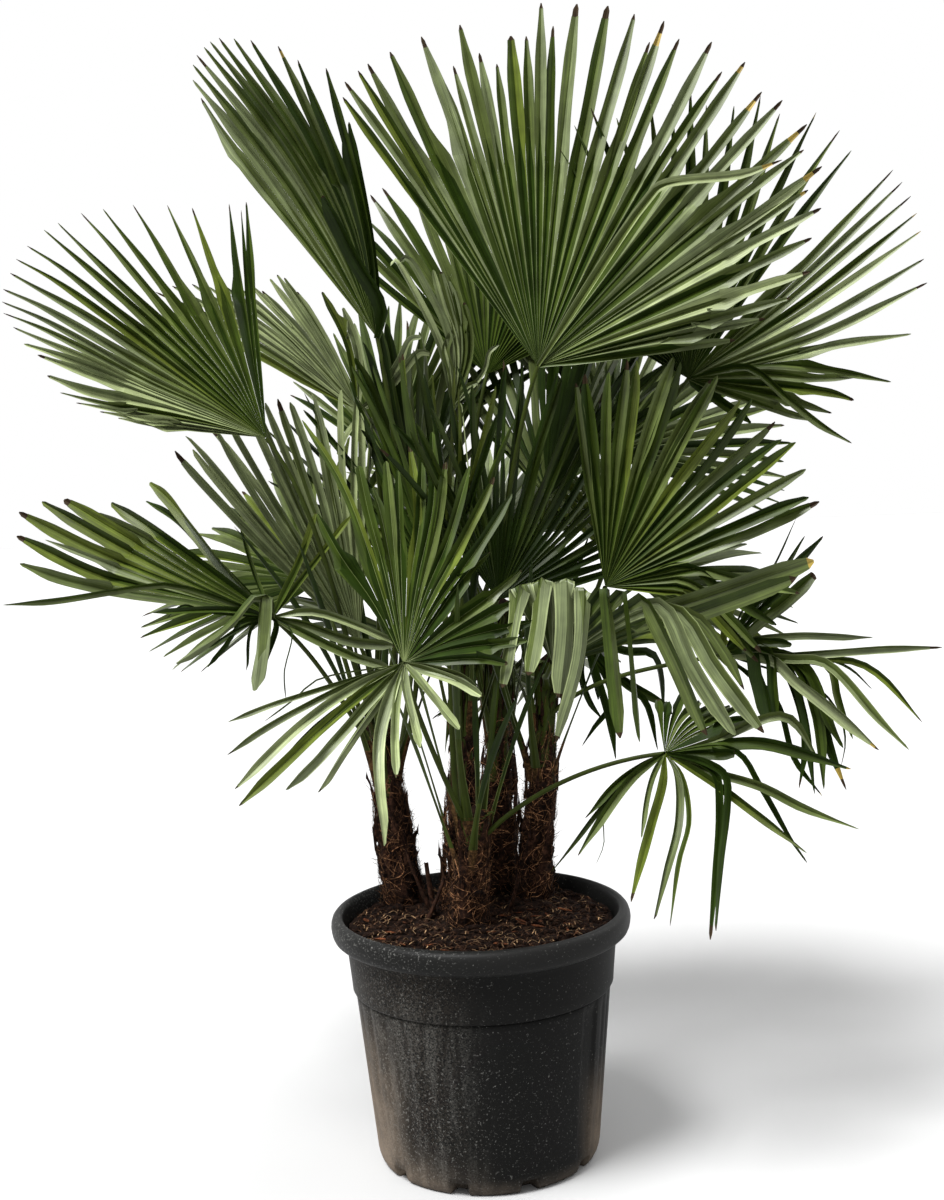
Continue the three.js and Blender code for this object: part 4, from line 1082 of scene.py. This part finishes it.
def points_on(line, shares):
    """Points at shares of the length of an evenly stepped line, rounded at its corners."""
    steps = len(line) - 1
    padded = np.concatenate([[2 * line[0] - line[1]], line, [2 * line[-1] - line[-2]]])
    place = np.clip(np.asarray(shares) * steps, 0, steps - 1e-6)
    k = np.floor(place).astype(int)
    t = (place - k)[:, None]
    a, b, c, d = (padded[k + j] for j in range(4))
    square, cube = 2 * a - 5 * b + 4 * c - d, 3 * b - a - 3 * c + d
    return 0.5 * (2 * b + (c - a) * t + square * t ** 2 + cube * t ** 3)


def drawn_knots(hub, behind, places):
    """The hub and the points a measured leaflet runs through, which go back evenly towards its tip."""
    right, up = np.array([(0, 0), *places]).T / 1000
    run = np.cumsum(np.hypot(np.diff(right, prepend=0), np.diff(up, prepend=0)))
    return np.array(hub) + np.stack([right, behind / 1000 * run / run[-1], up], 1)


def drawn_line(knots):
    """An evenly stepped line through knots: smooth, but for sharp folds."""
    gaps = np.linalg.norm(np.diff(knots, axis=0), axis=1)
    place = np.concatenate([[0], np.cumsum(np.sqrt(gaps))])
    slope = np.gradient(knots, place, axis=0)
    ahead = np.diff(knots, axis=0) / gaps[:, None]
    slope[1:-1][np.sum(ahead[1:] * ahead[:-1], axis=1) < FOLDED] = 0
    dense = np.linspace(0, place[-1], DENSE_STEPS)
    k = np.clip(np.searchsorted(place, dense, side="right") - 1, 0, len(gaps) - 1)
    width = place[k + 1] - place[k]
    t = ((dense - place[k]) / width)[:, None]
    width = width[:, None]
    curve = ((2 * t ** 3 - 3 * t ** 2 + 1) * knots[k] + (t ** 3 - 2 * t ** 2 + t) * width * slope[k]
             + (3 * t ** 2 - 2 * t ** 3) * knots[k + 1] + (t ** 3 - t ** 2) * width * slope[k + 1])
    length = np.concatenate([[0], np.cumsum(np.linalg.norm(np.diff(curve, axis=0), axis=1))])
    even = np.linspace(0, length[-1], DRAWN_STEPS + 1)
    return np.stack([np.interp(even, length, curve[:, axis]) for axis in range(3)], 1)


def line_length(line):
    """Length along a line of points."""
    return np.linalg.norm(np.diff(line, axis=0), axis=1).sum()


def carried(heading, side):
    """A direction taken along a line of headings without twisting."""
    rows = []
    for ahead in heading:
        side = unit(side - ahead * (side @ ahead))
        rows.append(side)
    return np.array(rows)


def rule_leaves(number, frond, style, random):
    """The leaflets of a fan that follows the rule, as dicts."""
    count, split, loose = frond["leaflets"], frond["split"], style["loose"]
    jitter = STRAY["aside"] * min(loose, 2.0) * random.uniform(-1, 1, count)
    late = random.uniform(0, LATE, count)
    late = late + (random.random(count) < LATER_SHARE) * random.uniform(*LATER, count)
    arc = math.radians(frond["span"][1] - frond["span"][0]) / count
    leaves = []
    for k in range(count):
        line = leaf_line(frond, number, k, (k + 0.5 + jitter[k]) / count)
        leaves.append(dict(
            line=line, cut=split, late=late[k], room=RULE_ROOM, blunt=style["blunt"],
            tone=str(random.choice(style["tones"].split())),
            width=1.2 * style["plump"] * line_length(line) * split * arc * random.uniform(0.88, 1.1),
            sway=STRAY["sway"] * loose * random.normal(), drop=STRAY["drop"] * loose * random.normal(),
            twist=(STRAY["twist"] * loose * random.normal(), STRAY["curl"] * loose * random.normal()),
        ))
    return leaves


def drawn_leaves(name, frond, random):
    """The measured leaflets of a fan, as dicts."""
    leaves = []
    for tone, width, blunt, joined, behind, *places in DRAWN[name]:
        line = drawn_line(drawn_knots(frond["hub"], behind, places))
        cut = min(frond["split"] * frond["reach"] / line_length(line), LARGEST_CUT)
        leaves.append(dict(
            line=line, cut=cut, late=joined - 1 + random.uniform(0, LATE) * joined, room=DRAWN_ROOM,
            blunt=blunt, tone=tone, width=width / 1000, sway=0.0, drop=0.0,
            twist=(DRAWN_TWIST * random.normal(), DRAWN_CURL * random.normal()),
        ))
    return leaves


def fan_margins(leaves):
    """The lines midway between neighbouring leaflets, and how far out each pair stays joined."""
    ribs = np.array([leaf["rib"] for leaf in leaves])
    late = [leaf["late"] for leaf in leaves]
    first = ribs[0] * 1.5 - ribs[1] * 0.5
    last = ribs[-1] * 1.5 - ribs[-2] * 0.5
    margins = np.concatenate([first[None], (ribs[1:] + ribs[:-1]) / 2, last[None]])
    return margins, [late[0], *np.minimum(late[1:], late[:-1]), late[-1]]


class Leaflet:
    """One leaflet: its rib, the directions across and above it, its half width and its tones, by station."""

    def __init__(self, leaf, face, style, settings, random):
        self.leaf, self.style, self.random = leaf, style, random
        self.shares = leaf["shares"]
        self.free = np.clip((self.shares - leaf["cut"]) / (1 - leaf["cut"]), 0, 1)
        self.aim(face)
        self.shape(settings)
        self.mark()

    def aim(self, face):
        """Sets the directions across and above the leaflet, twists them and sways its rib."""
        leaf, t = self.leaf, self.free
        rib = leaf["rib"]
        heading = np.gradient(rib, axis=0)
        heading /= np.linalg.norm(heading, axis=1, keepdims=True)
        tilt = 0.2 * self.random.normal(size=3) if leaf["late"] < 0 else 0
        across = carried(heading, np.cross(rib[2] - rib[0], face + tilt))
        self.above = np.cross(across, heading)
        twist = (leaf["twist"][0] * smooth(t, 0.0, 0.5) + leaf["twist"][1] * t ** 2)[:, None]
        self.turned = across * np.cos(twist) + self.above * np.sin(twist)
        self.raised = self.above * np.cos(twist) - across * np.sin(twist)
        self.reach = line_length(rib)
        swing = across * leaf["sway"] + self.above * leaf["drop"]
        self.rib = rib + swing * self.reach * (t ** 2)[:, None]

    def shape(self, settings):
        """Sets how deep the leaflet is folded and half its width, which tapers to a blunt end."""
        leaf, style, t = self.leaf, self.style, self.free
        self.fold = settings.pleat * style["pleat"]
        uneven = 1 + self.random.uniform(-0.15, 0.15) * smooth(t, 0, 0.2)
        self.pleat = self.fold * (1 - 0.35 * t) * uneven
        taper = smooth(t, style["point"], 1.0) ** 1.2
        half = 0.5 * leaf["width"] * (1 - (1 - leaf["blunt"]) * taper) * settings.leaflet_width
        self.half = np.maximum(half, min(THINNEST, 0.1 * leaf["width"]))
        self.half[-1] *= 0.25

    def mark(self):
        """Sets the leaflet's brown or faded end, where its painted hub shade ends, and how it faces the
        light.
        """
        random, ends = self.random, self.style["ends"]
        self.brown_end = random.random() < ends
        self.faded = random.random() < FADED * ends ** 3
        self.turn = JOINT + int(random.integers(-1, 5))
        self.brown_rows = int(random.integers(2, 4))
        self.offset = random.uniform(0, 40, 2)
        self.lit = np.cross(self.rib[JOINT + 4] - self.rib[JOINT], LIGHT_FROM) @ self.raised[JOINT + 2]

    def half_width(self, margin, late):
        """The width of a half, where it is joined to its neighbour at the margin, and its last such row."""
        t, half = self.free, self.half
        span = np.linalg.norm(margin - self.leaf["rib"], axis=1)
        room = self.leaf["width"] * self.leaf["room"] * np.maximum(self.shares / self.leaf["cut"], 1)
        joined = (t <= late) & (span <= room)
        last = int(np.max(np.nonzero(joined)[0], initial=0))
        if last:
            wide = half + (span[last] - half) * (1 - smooth(t, t[last], t[last] + 0.35))
        else:
            wide = half * (0.4 + 0.6 * smooth(self.shares, 0.0, 0.25))
        return np.where(joined, span, wide), joined, last

    def half_tones(self, hand):
        """The tone of a half and the painted shade near the hub; both painted darker where it faces away from
        the light.
        """
        tone = near = self.leaf["tone"]
        for _ in range(self.style["hub_shade_steps"]):
            near = DARKER.get(near, near)
        if hand * self.lit < 0 and self.random.random() < SHADED:
            tone, near = DARKER.get(tone, tone), DARKER.get(near, near)
        return tone, near

    def lay_half(self, hand, margin, late, sprays):
        """Adds the half on one hand of the rib: its face in its tones, and the strip of painted highlight
        along its edge.
        """
        rib = self.rib
        wide, joined, last = self.half_width(margin, late)
        fused = margin + self.above * (self.fold * wide)[:, None]
        free = rib + self.turned * (hand * wide)[:, None] + self.raised * (self.pleat * wide)[:, None]
        outer = np.where(joined[:, None], fused, free)
        tone, near = self.half_tones(hand)
        # Light and grey leaflets get a lighter strip along the margin, and fused ones along the ridge: a
        # painted highlight
        pale = self.style["highlight_rim"] if self.leaf["tone"] in ("light", "grey") else None
        strip = pale or self.style["ridge_highlight"]
        highlight_rim = RIM_HIGHLIGHT_SHARE if pale else RIDGE_HIGHLIGHT_SHARE if strip else 1.0
        border = rib + (outer - rib) * highlight_rim
        middle = (rib + border) / 2 + self.raised * (0.06 * wide)[:, None]
        run = self.offset[1] + self.shares * self.reach

        def part(low, high, start, until):
            """The part between two shares of the half's width, over some of its rows."""
            cut = np.stack([low, (low + high) / 2, high], 1)
            inward, outward = np.clip(2 * cut, 0, 1)[..., None], np.clip(2 * cut - 1, 0, 1)[..., None]
            grid = rib[:, None] + (middle - rib)[:, None] * inward + (border - middle)[:, None] * outward
            across = self.offset[0] + hand * cut * (wide * highlight_rim)[:, None]
            place = np.stack([across, np.outer(run, np.ones(3))], -1)
            return grid[start:until], place[start:until]

        stop = self.lay_face(part, tone, near, sprays)
        if strip:
            place = np.stack([self.offset[0] + np.outer(wide, (highlight_rim, 1)), np.outer(run, np.ones(2))], -1)
            edge = np.stack([border, outer], 1)
            until = stop if pale else last + 2
            sprays[strip].add(edge[:until], place[:until])
            if until < stop:
                sprays[tone].add(edge[until - 1:stop], place[until - 1:stop])

    def lay_face(self, part, tone, near, sprays):
        """Adds the parts of a half's face in their tones, and gives the row where its own tone stops."""
        count = len(self.shares)
        none, full, stop = np.zeros(count), np.ones(count), count
        if self.brown_end:
            sprays["tip"].add(*part(none, full, -self.brown_rows, None))
            stop -= self.brown_rows - 1
        if self.faded:
            sprays["yellow"].add(*part(none, full, stop - 2, stop))
            stop -= 1
        # near is the darker tone of the painted shade near the hub, which ends on a slanted seam
        if near == tone:
            sprays[tone].add(*part(none, full, 0, stop))
        else:
            seam = np.clip((self.turn + 1 - np.arange(count)) / 7, 0.04, 0.96)
            sprays[near].add(*part(none, seam, 0, self.turn + 2))
            sprays[tone].add(*part(seam, full, 0, self.turn + 2))
            sprays[tone].add(*part(none, full, self.turn + 1, stop))
        return stop

    def lay_rib(self, sprays):
        """Adds the raised rib, where the fan's style has one."""
        thick = (RIB_HALF * (1 - 0.6 * self.shares))[:, None]
        out, up = self.turned * thick, self.raised * thick * 1.4
        corners = [self.rib - out, self.rib + up, self.rib + out, self.rib - up]
        sprays[self.style["rib"]].add(np.stack(corners, 1), closed=True)


def build_frond(name, number, frond, sprays, settings):
    """Deals one fan's leaflets out to the sprays of their tones."""
    random = np.random.default_rng(100 + number)
    style = USUAL | FOLIAGE[name]
    leaves = rule_leaves(number, frond, style, random) if "leaflets" in frond else []
    face = blade_frame(frond)[2] if leaves else FRONT
    leaves += drawn_leaves(name, frond, random) if name in DRAWN else []
    for leaf in leaves:
        cut = leaf["cut"]
        leaf["shares"] = np.concatenate([cut * FUSED_STATIONS, cut + (1 - cut) * FREE_STATIONS])
        leaf["rib"] = points_on(leaf["line"], leaf["shares"])
    margins, late = fan_margins(leaves)
    for k, leaf in enumerate(leaves):
        leaflet = Leaflet(leaf, face, style, settings, random)
        leaflet.lay_half(-1, margins[k], late[k], sprays)
        leaflet.lay_half(1, margins[k + 1], late[k + 1], sprays)
        if style["rib"]:
            leaflet.lay_rib(sprays)


def stalk_line(frond, rank):
    """Points from the stem's top to the hub of a frond."""
    stem = STEMS[frond["stem"]]
    foot = np.array([*stem["foot"], SOIL_TOP])
    top = np.array(stem["tip"])
    hub = np.array(frond["hub"])
    start = top - unit(top - foot) * (STALK_FIRST + rank * STALK_SPACING)
    axis = blade_frame(frond)[0]
    straight = hub - start
    length = np.linalg.norm(straight)
    outward = unit(straight * np.array([1, 1, 0]))
    rise = unit(UP * 1.2 + outward)
    arrive = unit(unit(straight) * 1.5 + axis)
    sideways = unit(np.cross(straight, UP)) * frond["bow"]
    a, b = start, start + rise * length / 3 + sideways
    c, d = hub - arrive * length / 3 + sideways, hub
    t = np.linspace(0, 1, STALK["rows"])[:, None]
    return a * (1 - t) ** 3 + b * 3 * t * (1 - t) ** 2 + c * 3 * t ** 2 * (1 - t) + d * t ** 3


def tube(line, wide, deep, sides):
    """An oval tube along a line."""
    ahead = np.gradient(line, axis=0)
    ahead /= np.linalg.norm(ahead, axis=1, keepdims=True)
    side = np.cross(ahead, UP)
    weak = np.linalg.norm(side, axis=1, keepdims=True) < 0.15
    side = np.where(weak, np.cross(ahead, FRONT), side)
    side /= np.linalg.norm(side, axis=1, keepdims=True)
    over = np.cross(side, ahead)
    turn = np.linspace(0, TURN, sides, endpoint=False)
    return (line[:, None] + side[:, None] * (np.cos(turn)[None] * wide[:, None])[..., None]
            + over[:, None] * (np.sin(turn)[None] * deep[:, None])[..., None])


def stalk(frond, rank):
    """A frond's stalk, whose foot clasps the stem; rank counts the stalks above it."""
    line = stalk_line(frond, rank)
    t = np.linspace(0, 1, len(line))
    wide = STALK["half_width"] - STALK["taper"] * t + STALK["foot"] * (1 - smooth(t, 0, 0.15))
    return tube(line, wide, STALK["half_depth"] - STALK["thinning"] * t, 10)


def spear(stem, random, sprays):
    """An unopened leaf: a sheath and petiole on the stem that goes on into a folded pointed blade."""
    t = np.linspace(0, 1, SPEAR_ROWS)
    turn = random.uniform(0, TURN)
    start_share = 1 - min(random.uniform(0.03, 0.3) / stem_height(stem), 0.5)
    start = stem_points(stem, start_share, turn, 0.0)
    outward = compass(turn)
    lean = random.uniform(0.02, 0.45)
    length = random.uniform(0.3, 0.5)
    sway = random.uniform(-0.3, 0.3)
    across = np.cross(UP, outward)
    line = (start + outward * (0.004 + lean * length * t ** 1.2)[:, None] + UP * (length * t)[:, None]
            + across * (sway * length * t ** 2)[:, None])
    half = np.interp(t, SPEAR_SHARES, SPEAR_HALVES) * random.uniform(0.85, 1.15)
    columns = np.linspace(-1, 1, 5)
    grid = (line[:, None] + across * (columns[None] * half[:, None])[..., None]
            + outward * (-(columns[None] ** 2) * half[:, None] * 0.75)[..., None])
    places = np.stack([np.ones(SPEAR_ROWS)[:, None] * columns * 0.01, (t * length)[:, None] * np.ones(5)], -1)
    sheath, blade = int(random.integers(2, 5)), SPEAR_STALK_ROWS
    sprays["sheath"].add(grid[:sheath], places[:sheath])
    sprays["stalk"].add(grid[sheath - 1:blade], places[sheath - 1:blade])
    sprays[str(random.choice(["deep", "deep", "dark"]))].add(grid[blade - 1:], places[blade - 1:])
    for hand in (0, -1):
        edge = grid[sheath - 1:blade + 2, hand]
        sprays["rib"].add(ribbon(edge, across[None] + 0 * edge, np.full(len(edge), 0.0006)))


# Settings


def color_setting(name, description, default):
    """A colour that can be changed in the panel."""
    return FloatVectorProperty(name=name, description=description, subtype="COLOR", size=3, min=0, max=1,
                               default=default)


class PotSettings(bpy.types.PropertyGroup):
    """Container."""

    color: color_setting("Plastic", "Colour of the plastic", (0.0040, 0.0040, 0.0037))
    dust: color_setting("Dust", "Colour of the dried splashes", (0.152, 0.121, 0.093))


class SoilSettings(bpy.types.PropertyGroup):
    """Growing medium."""

    color: color_setting("Peat", "Colour of the growing medium", (0.0110, 0.0048, 0.0026))
    lumps: FloatProperty(name="Lumps", description="Height of the lumps", default=0.006, min=0, unit="LENGTH")


class StemSettings(bpy.types.PropertyGroup):
    """Stems and their fibre."""

    color: color_setting("Bark", "Colour under the fibre", (0.0085, 0.0038, 0.0022))
    fibre: color_setting("Fibre", "Colour of the pale fibres", (0.185, 0.092, 0.044))
    fibres: IntProperty(name="Fibres", description="Fibres on each stem", default=1300, min=0)


class FrondSettings(bpy.types.PropertyGroup):
    """Fronds."""

    leaflet_width: FloatProperty(name="Leaflet width", description="Width as a share of the room it has",
                                 default=1.0, min=0.2, max=1.5)
    pleat: FloatProperty(name="Pleat", description="Depth of a leaflet's fold for each unit of half width",
                         default=1.15, min=0, max=2)
    stalk: color_setting("Stalk", "Colour of the stalks", (0.024, 0.034, 0.0045))
    spears: IntProperty(name="Spears", description="Unopened leaves on each stem", default=8, min=0)
    sheaths: IntProperty(name="Sheaths", description="Green leaf sheaths on the upper part of each stem",
                         default=48, min=0, max=80)


class StageSettings(bpy.types.PropertyGroup):
    """Floor, light and camera."""

    floor: color_setting("Floor", "Colour of the floor", (0.34, 0.34, 0.34))
    key: FloatProperty(name="Key light", description="Strength of the key light", default=7.5, min=0)
    lens: FloatProperty(name="Lens", description="Focal length in millimetres", default=48.0, min=10)


class PalmSettings(bpy.types.PropertyGroup):
    """All settings of the plant."""

    pot: PointerProperty(type=PotSettings)
    soil: PointerProperty(type=SoilSettings)
    stems: PointerProperty(type=StemSettings)
    fronds: PointerProperty(type=FrondSettings)
    stage: PointerProperty(type=StageSettings)


# Stage

# Half the size of the floor
FLOOR_HALF = 20
# Lights: name, where each shines from, its width in degrees and its strength as a share of the key light's
LIGHTS = (
    ("key", (-1.0, -0.9, 2.6), 24, 1),
    ("highlight_rim", (1.4, 0.9, 2.2), 50, 0.18),
)
# Camera: where it stands, and how far it looks down and is rolled, in radians
CAMERA_PLACE = (0.006, -2.7324, 1.2407)
CAMERA_PITCH = 0.0967
CAMERA_ROLL = -0.0385
SENSOR_WIDTH = 36.0


def floor_material(color):
    """Paint with soft, hardly visible clouds."""
    paint = Paint("floor_paint")
    clouds = paint.ramp(paint.noise(paint.place, 0.6), color, ((0.3, 0.98), (0.7, 1.02)))
    return paint.finish(clouds, 0.9, 0.1)


def add_floor(scene, color):
    """The floor under the plant."""
    mesh = bpy.data.meshes.new("floor")
    corners = [(x * FLOOR_HALF, y * FLOOR_HALF, 0) for x, y in ((-1, -1), (1, -1), (1, 1), (-1, 1))]
    mesh.from_pydata(corners, [], [(0, 1, 2, 3)])
    mesh.materials.append(floor_material(color))
    floor = bpy.data.objects.new("floor", mesh)
    scene.collection.objects.link(floor)


def add_world(scene):
    """Even white light from all round."""
    world = bpy.data.worlds.new("studio")
    scene.world = world
    world.use_nodes = True
    background = world.node_tree.nodes["Background"]
    background.inputs["Color"].default_value = (1.0, 1.0, 1.0, 1.0)
    background.inputs["Strength"].default_value = 1.0


def add_sun(scene, name, place, width, strength):
    """A light that shines from a place towards the plant."""
    data = bpy.data.lights.new(name, "SUN")
    data.angle = width
    data.energy = strength
    lamp = bpy.data.objects.new(name, data)
    lamp.location = place
    lamp.rotation_euler = Vector(place).to_track_quat("Z", "Y").to_euler()
    scene.collection.objects.link(lamp)


def add_camera(scene, lens):
    """The camera, level before its pitch and roll."""
    data = bpy.data.cameras.new("camera")
    data.lens = lens
    data.sensor_width = SENSOR_WIDTH
    camera = bpy.data.objects.new("camera", data)
    forward = Vector((0, math.cos(CAMERA_PITCH), -math.sin(CAMERA_PITCH)))
    level = Vector((1, 0, 0))
    upward = level.cross(forward)
    right = level * math.cos(CAMERA_ROLL) + upward * math.sin(CAMERA_ROLL)
    up = upward * math.cos(CAMERA_ROLL) - level * math.sin(CAMERA_ROLL)
    turn = Matrix((right, up, -forward)).transposed()
    camera.matrix_world = Matrix.Translation(CAMERA_PLACE) @ turn.to_4x4()
    scene.collection.objects.link(camera)
    scene.camera = camera


# Operators


class PALM_OT_pot(bpy.types.Operator):
    """Container with its lip, fluted wall and drain slots"""

    bl_idname = "palm.pot"
    bl_label = "Container"

    def execute(self, context):
        """Builds the container."""
        settings = context.scene.palm.pot
        rows = pot_grid(np.linspace(0, TURN, 360, endpoint=False))
        shell, lip = Spray(), Spray()
        shell.add(rows[:LIP_ROW + 1], closed=True)
        lip.add(rows[LIP_ROW:], closed=True)
        plastic = pot_material("pot_plastic", settings.color, settings.dust, 1.0, 0.07)
        shell.piece("pot_shell", plastic, "pot", "pot")
        # The lip is the same plastic painted 1.3 times lighter: a painted sheen; its stronger gloss is real
        painted_sheen_brim = tuple(1.3 * c for c in settings.color)
        lip.piece("pot_lip", pot_material("pot_brim", painted_sheen_brim, settings.dust, 0.0, 0.12), "pot")
        return {"FINISHED"}


class PALM_OT_soil(bpy.types.Operator):
    """Growing medium with its clods and fibres"""

    bl_idname = "palm.soil"
    bl_label = "Growing medium"

    def execute(self, context):
        """Builds the soil surface and what lies on it."""
        settings = context.scene.palm.soil
        random = np.random.default_rng(7)
        ground, clods, bits, pale, chips = Spray(), Spray(), Spray(), Spray(), Spray()
        ground.add(soil_grid(settings.lumps), closed=True)
        ground.piece("soil_bed", soil_material("soil_peat", settings.color), "soil", "soil")
        for _ in range(CLODS):
            clods.add(clod(random, settings.lumps), closed=True)
        clods.piece("soil_clods", soil_material("soil_crumb", tuple(c * 1.2 for c in settings.color)), "soil")
        for number in range(STRAWS):
            (pale if number % 4 == 0 else bits).add(straw(random))
        for _ in range(CHIPS):
            chips.add(chip(random), closed=True)
        bits.piece("soil_fibres", fibre_material("soil_fibre", (0.042, 0.021, 0.011)), "soil")
        pale.piece("soil_straws", fibre_material("soil_straw", (0.160, 0.100, 0.052)), "soil")
        chips.piece("soil_chips", fibre_material("soil_chip", (0.060, 0.020, 0.008)), "soil")
        return {"FINISHED"}


class PALM_OT_stems(bpy.types.Operator):
    """Stems with their fibre mats and old leaf bases"""

    bl_idname = "palm.stems"
    bl_label = "Stems"

    def execute(self, context):
        """Builds the stems."""
        settings = context.scene.palm.stems
        random = np.random.default_rng(11)
        cores, bases, pale, brown, black = Spray(), Spray(), Spray(), Spray(), Spray()
        for number, stem in enumerate(STEMS.values()):
            cores.add(stem_core(stem, 5.0 * number), closed=True)
            tall = stem_height(stem)
            for k in range(int(tall / BASE_SPACING)):
                share = min(0.9, BASE_SPACING * k / tall)
                turn = BASE_TURN * k + random.uniform(-0.3, 0.3)
                bases.add(leaf_base(stem, random, share, turn, random.uniform(0.045, 0.085)))
            for k in range(settings.fibres // 5):
                (brown, black)[k % 2].add(stray_hair(stem, random))
            for k in range(settings.fibres):
                loose = FIBRE_LOOSE if k % 6 == 0 else FIBRE_CLOSE
                (pale, brown, brown, black)[k % 4].add(fibre_strip(stem, random, loose))
        for foot, lean, length in STUBS:
            bases.add(stub(random, foot, lean, length), closed=True)
        nodes = [f"stem_{name}" for name in STEMS]
        cores.piece("stem_cores", fibre_material("stem_bark", settings.color), "stem", *nodes)
        bases.piece("stem_bases", fibre_material("stem_base", tuple(2.2 * c for c in settings.color)), "stem")
        pale.piece("stem_fibre_pale", fibre_material("fibre_pale", settings.fibre), "stem")
        brown.piece("stem_fibre_brown", fibre_material("fibre_brown", (0.046, 0.021, 0.010)), "stem")
        black.piece("stem_fibre_dark", fibre_material("fibre_dark", (0.0065, 0.0040, 0.0030)), "stem")
        return {"FINISHED"}


class PALM_OT_stalks(bpy.types.Operator):
    """Stalks that carry the fans"""

    bl_idname = "palm.stalks"
    bl_label = "Stalks"

    def execute(self, context):
        """Builds the stalks and the green sheaths round them."""
        settings = context.scene.palm.fronds
        stalks = Spray()
        ranks = dict.fromkeys(STEMS, 0)
        for frond in FRONDS.values():
            stalks.add(stalk(frond, ranks[frond["stem"]]), closed=True)
            ranks[frond["stem"]] += 1
        random = np.random.default_rng(31)
        for stem in STEMS.values():
            for _ in range(settings.sheaths):
                share = random.uniform(min(SHEATH_LOWEST / stem_height(stem), 0.75), 0.98)
                turn = random.uniform(0, TURN)
                stalks.add(leaf_base(stem, random, share, turn, random.uniform(0.08, 0.22)))
        stalks.piece("stalks", leaf_material("stalk_green", settings.stalk, *STALK_FINISH), "frond")
        return {"FINISHED"}


class PALM_OT_fronds(bpy.types.Operator):
    """Fan blades, joined by tone"""

    bl_idname = "palm.fronds"
    bl_label = "Fans"

    def execute(self, context):
        """Builds the fan blades and the unopened leaves."""
        settings = context.scene.palm.fronds
        sprays = {tone: Spray() for tone in [*TONES, "stalk", "sheath"]}
        for number, (name, frond) in enumerate(FRONDS.items()):
            build_frond(name, number, frond, sprays, settings)
        random = np.random.default_rng(23)
        for stem in STEMS.values():
            for _ in range(settings.spears):
                spear(stem, random, sprays)
        nodes = [f"frond_{name}" for name in FRONDS]
        for tone, spray in sprays.items():
            if spray.count == 0:
                continue
            if tone == "sheath":
                finish = fibre_material("leaf_sheath", (0.045, 0.024, 0.009))
            else:
                finish = leaf_material(f"leaf_{tone}", *TONES.get(tone, (settings.stalk, *STALK_FINISH)))
            spray.piece(f"leaves_{tone}", finish, "frond", *(nodes if tone == "mid" else ()))
        return {"FINISHED"}


class PALM_OT_stage(bpy.types.Operator):
    """Floor, light and camera"""

    bl_idname = "palm.stage"
    bl_label = "Stage"

    def execute(self, context):
        """Builds the stage."""
        settings = context.scene.palm.stage
        scene = context.scene
        add_floor(scene, settings.floor)
        add_world(scene)
        for name, place, width, share in LIGHTS:
            add_sun(scene, name, place, math.radians(width), settings.key * share)
        add_camera(scene, settings.lens)
        scene.view_settings.view_transform = "Standard"
        return {"FINISHED"}


class PALM_PT_panel(bpy.types.Panel):
    """Lists the operators and settings of the plant"""

    bl_idname = "PALM_PT_panel"
    bl_label = "Potted palm"
    bl_space_type = "VIEW_3D"
    bl_region_type = "UI"
    bl_category = "Palm"

    def draw(self, context):
        """Draws the panel."""
        palm = context.scene.palm
        for operator, group in PANEL_ROWS:
            box = self.layout.box()
            box.operator(operator)
            settings = getattr(palm, group)
            for key in settings.__annotations__:
                box.prop(settings, key)


PANEL_ROWS = (
    ("palm.pot", "pot"),
    ("palm.soil", "soil"),
    ("palm.stems", "stems"),
    ("palm.stalks", "fronds"),
    ("palm.fronds", "fronds"),
    ("palm.stage", "stage"),
)

CLASSES = (
    PotSettings, SoilSettings, StemSettings, FrondSettings, StageSettings, PalmSettings,
    PALM_OT_pot, PALM_OT_soil, PALM_OT_stems, PALM_OT_stalks, PALM_OT_fronds, PALM_OT_stage, PALM_PT_panel,
)


def register():
    """Registers the classes and the settings."""
    for each in CLASSES:
        bpy.utils.register_class(each)
    bpy.types.Scene.palm = PointerProperty(type=PalmSettings)


def unregister():
    """Takes the settings and the classes away."""
    del bpy.types.Scene.palm
    for each in reversed(CLASSES):
        bpy.utils.unregister_class(each)


def main():
    """Builds the whole plant."""
    register()
    bpy.ops.palm.stage()
    bpy.ops.palm.pot()
    bpy.ops.palm.soil()
    bpy.ops.palm.stems()
    bpy.ops.palm.stalks()
    bpy.ops.palm.fronds()


if __name__ == "__main__":
    main()
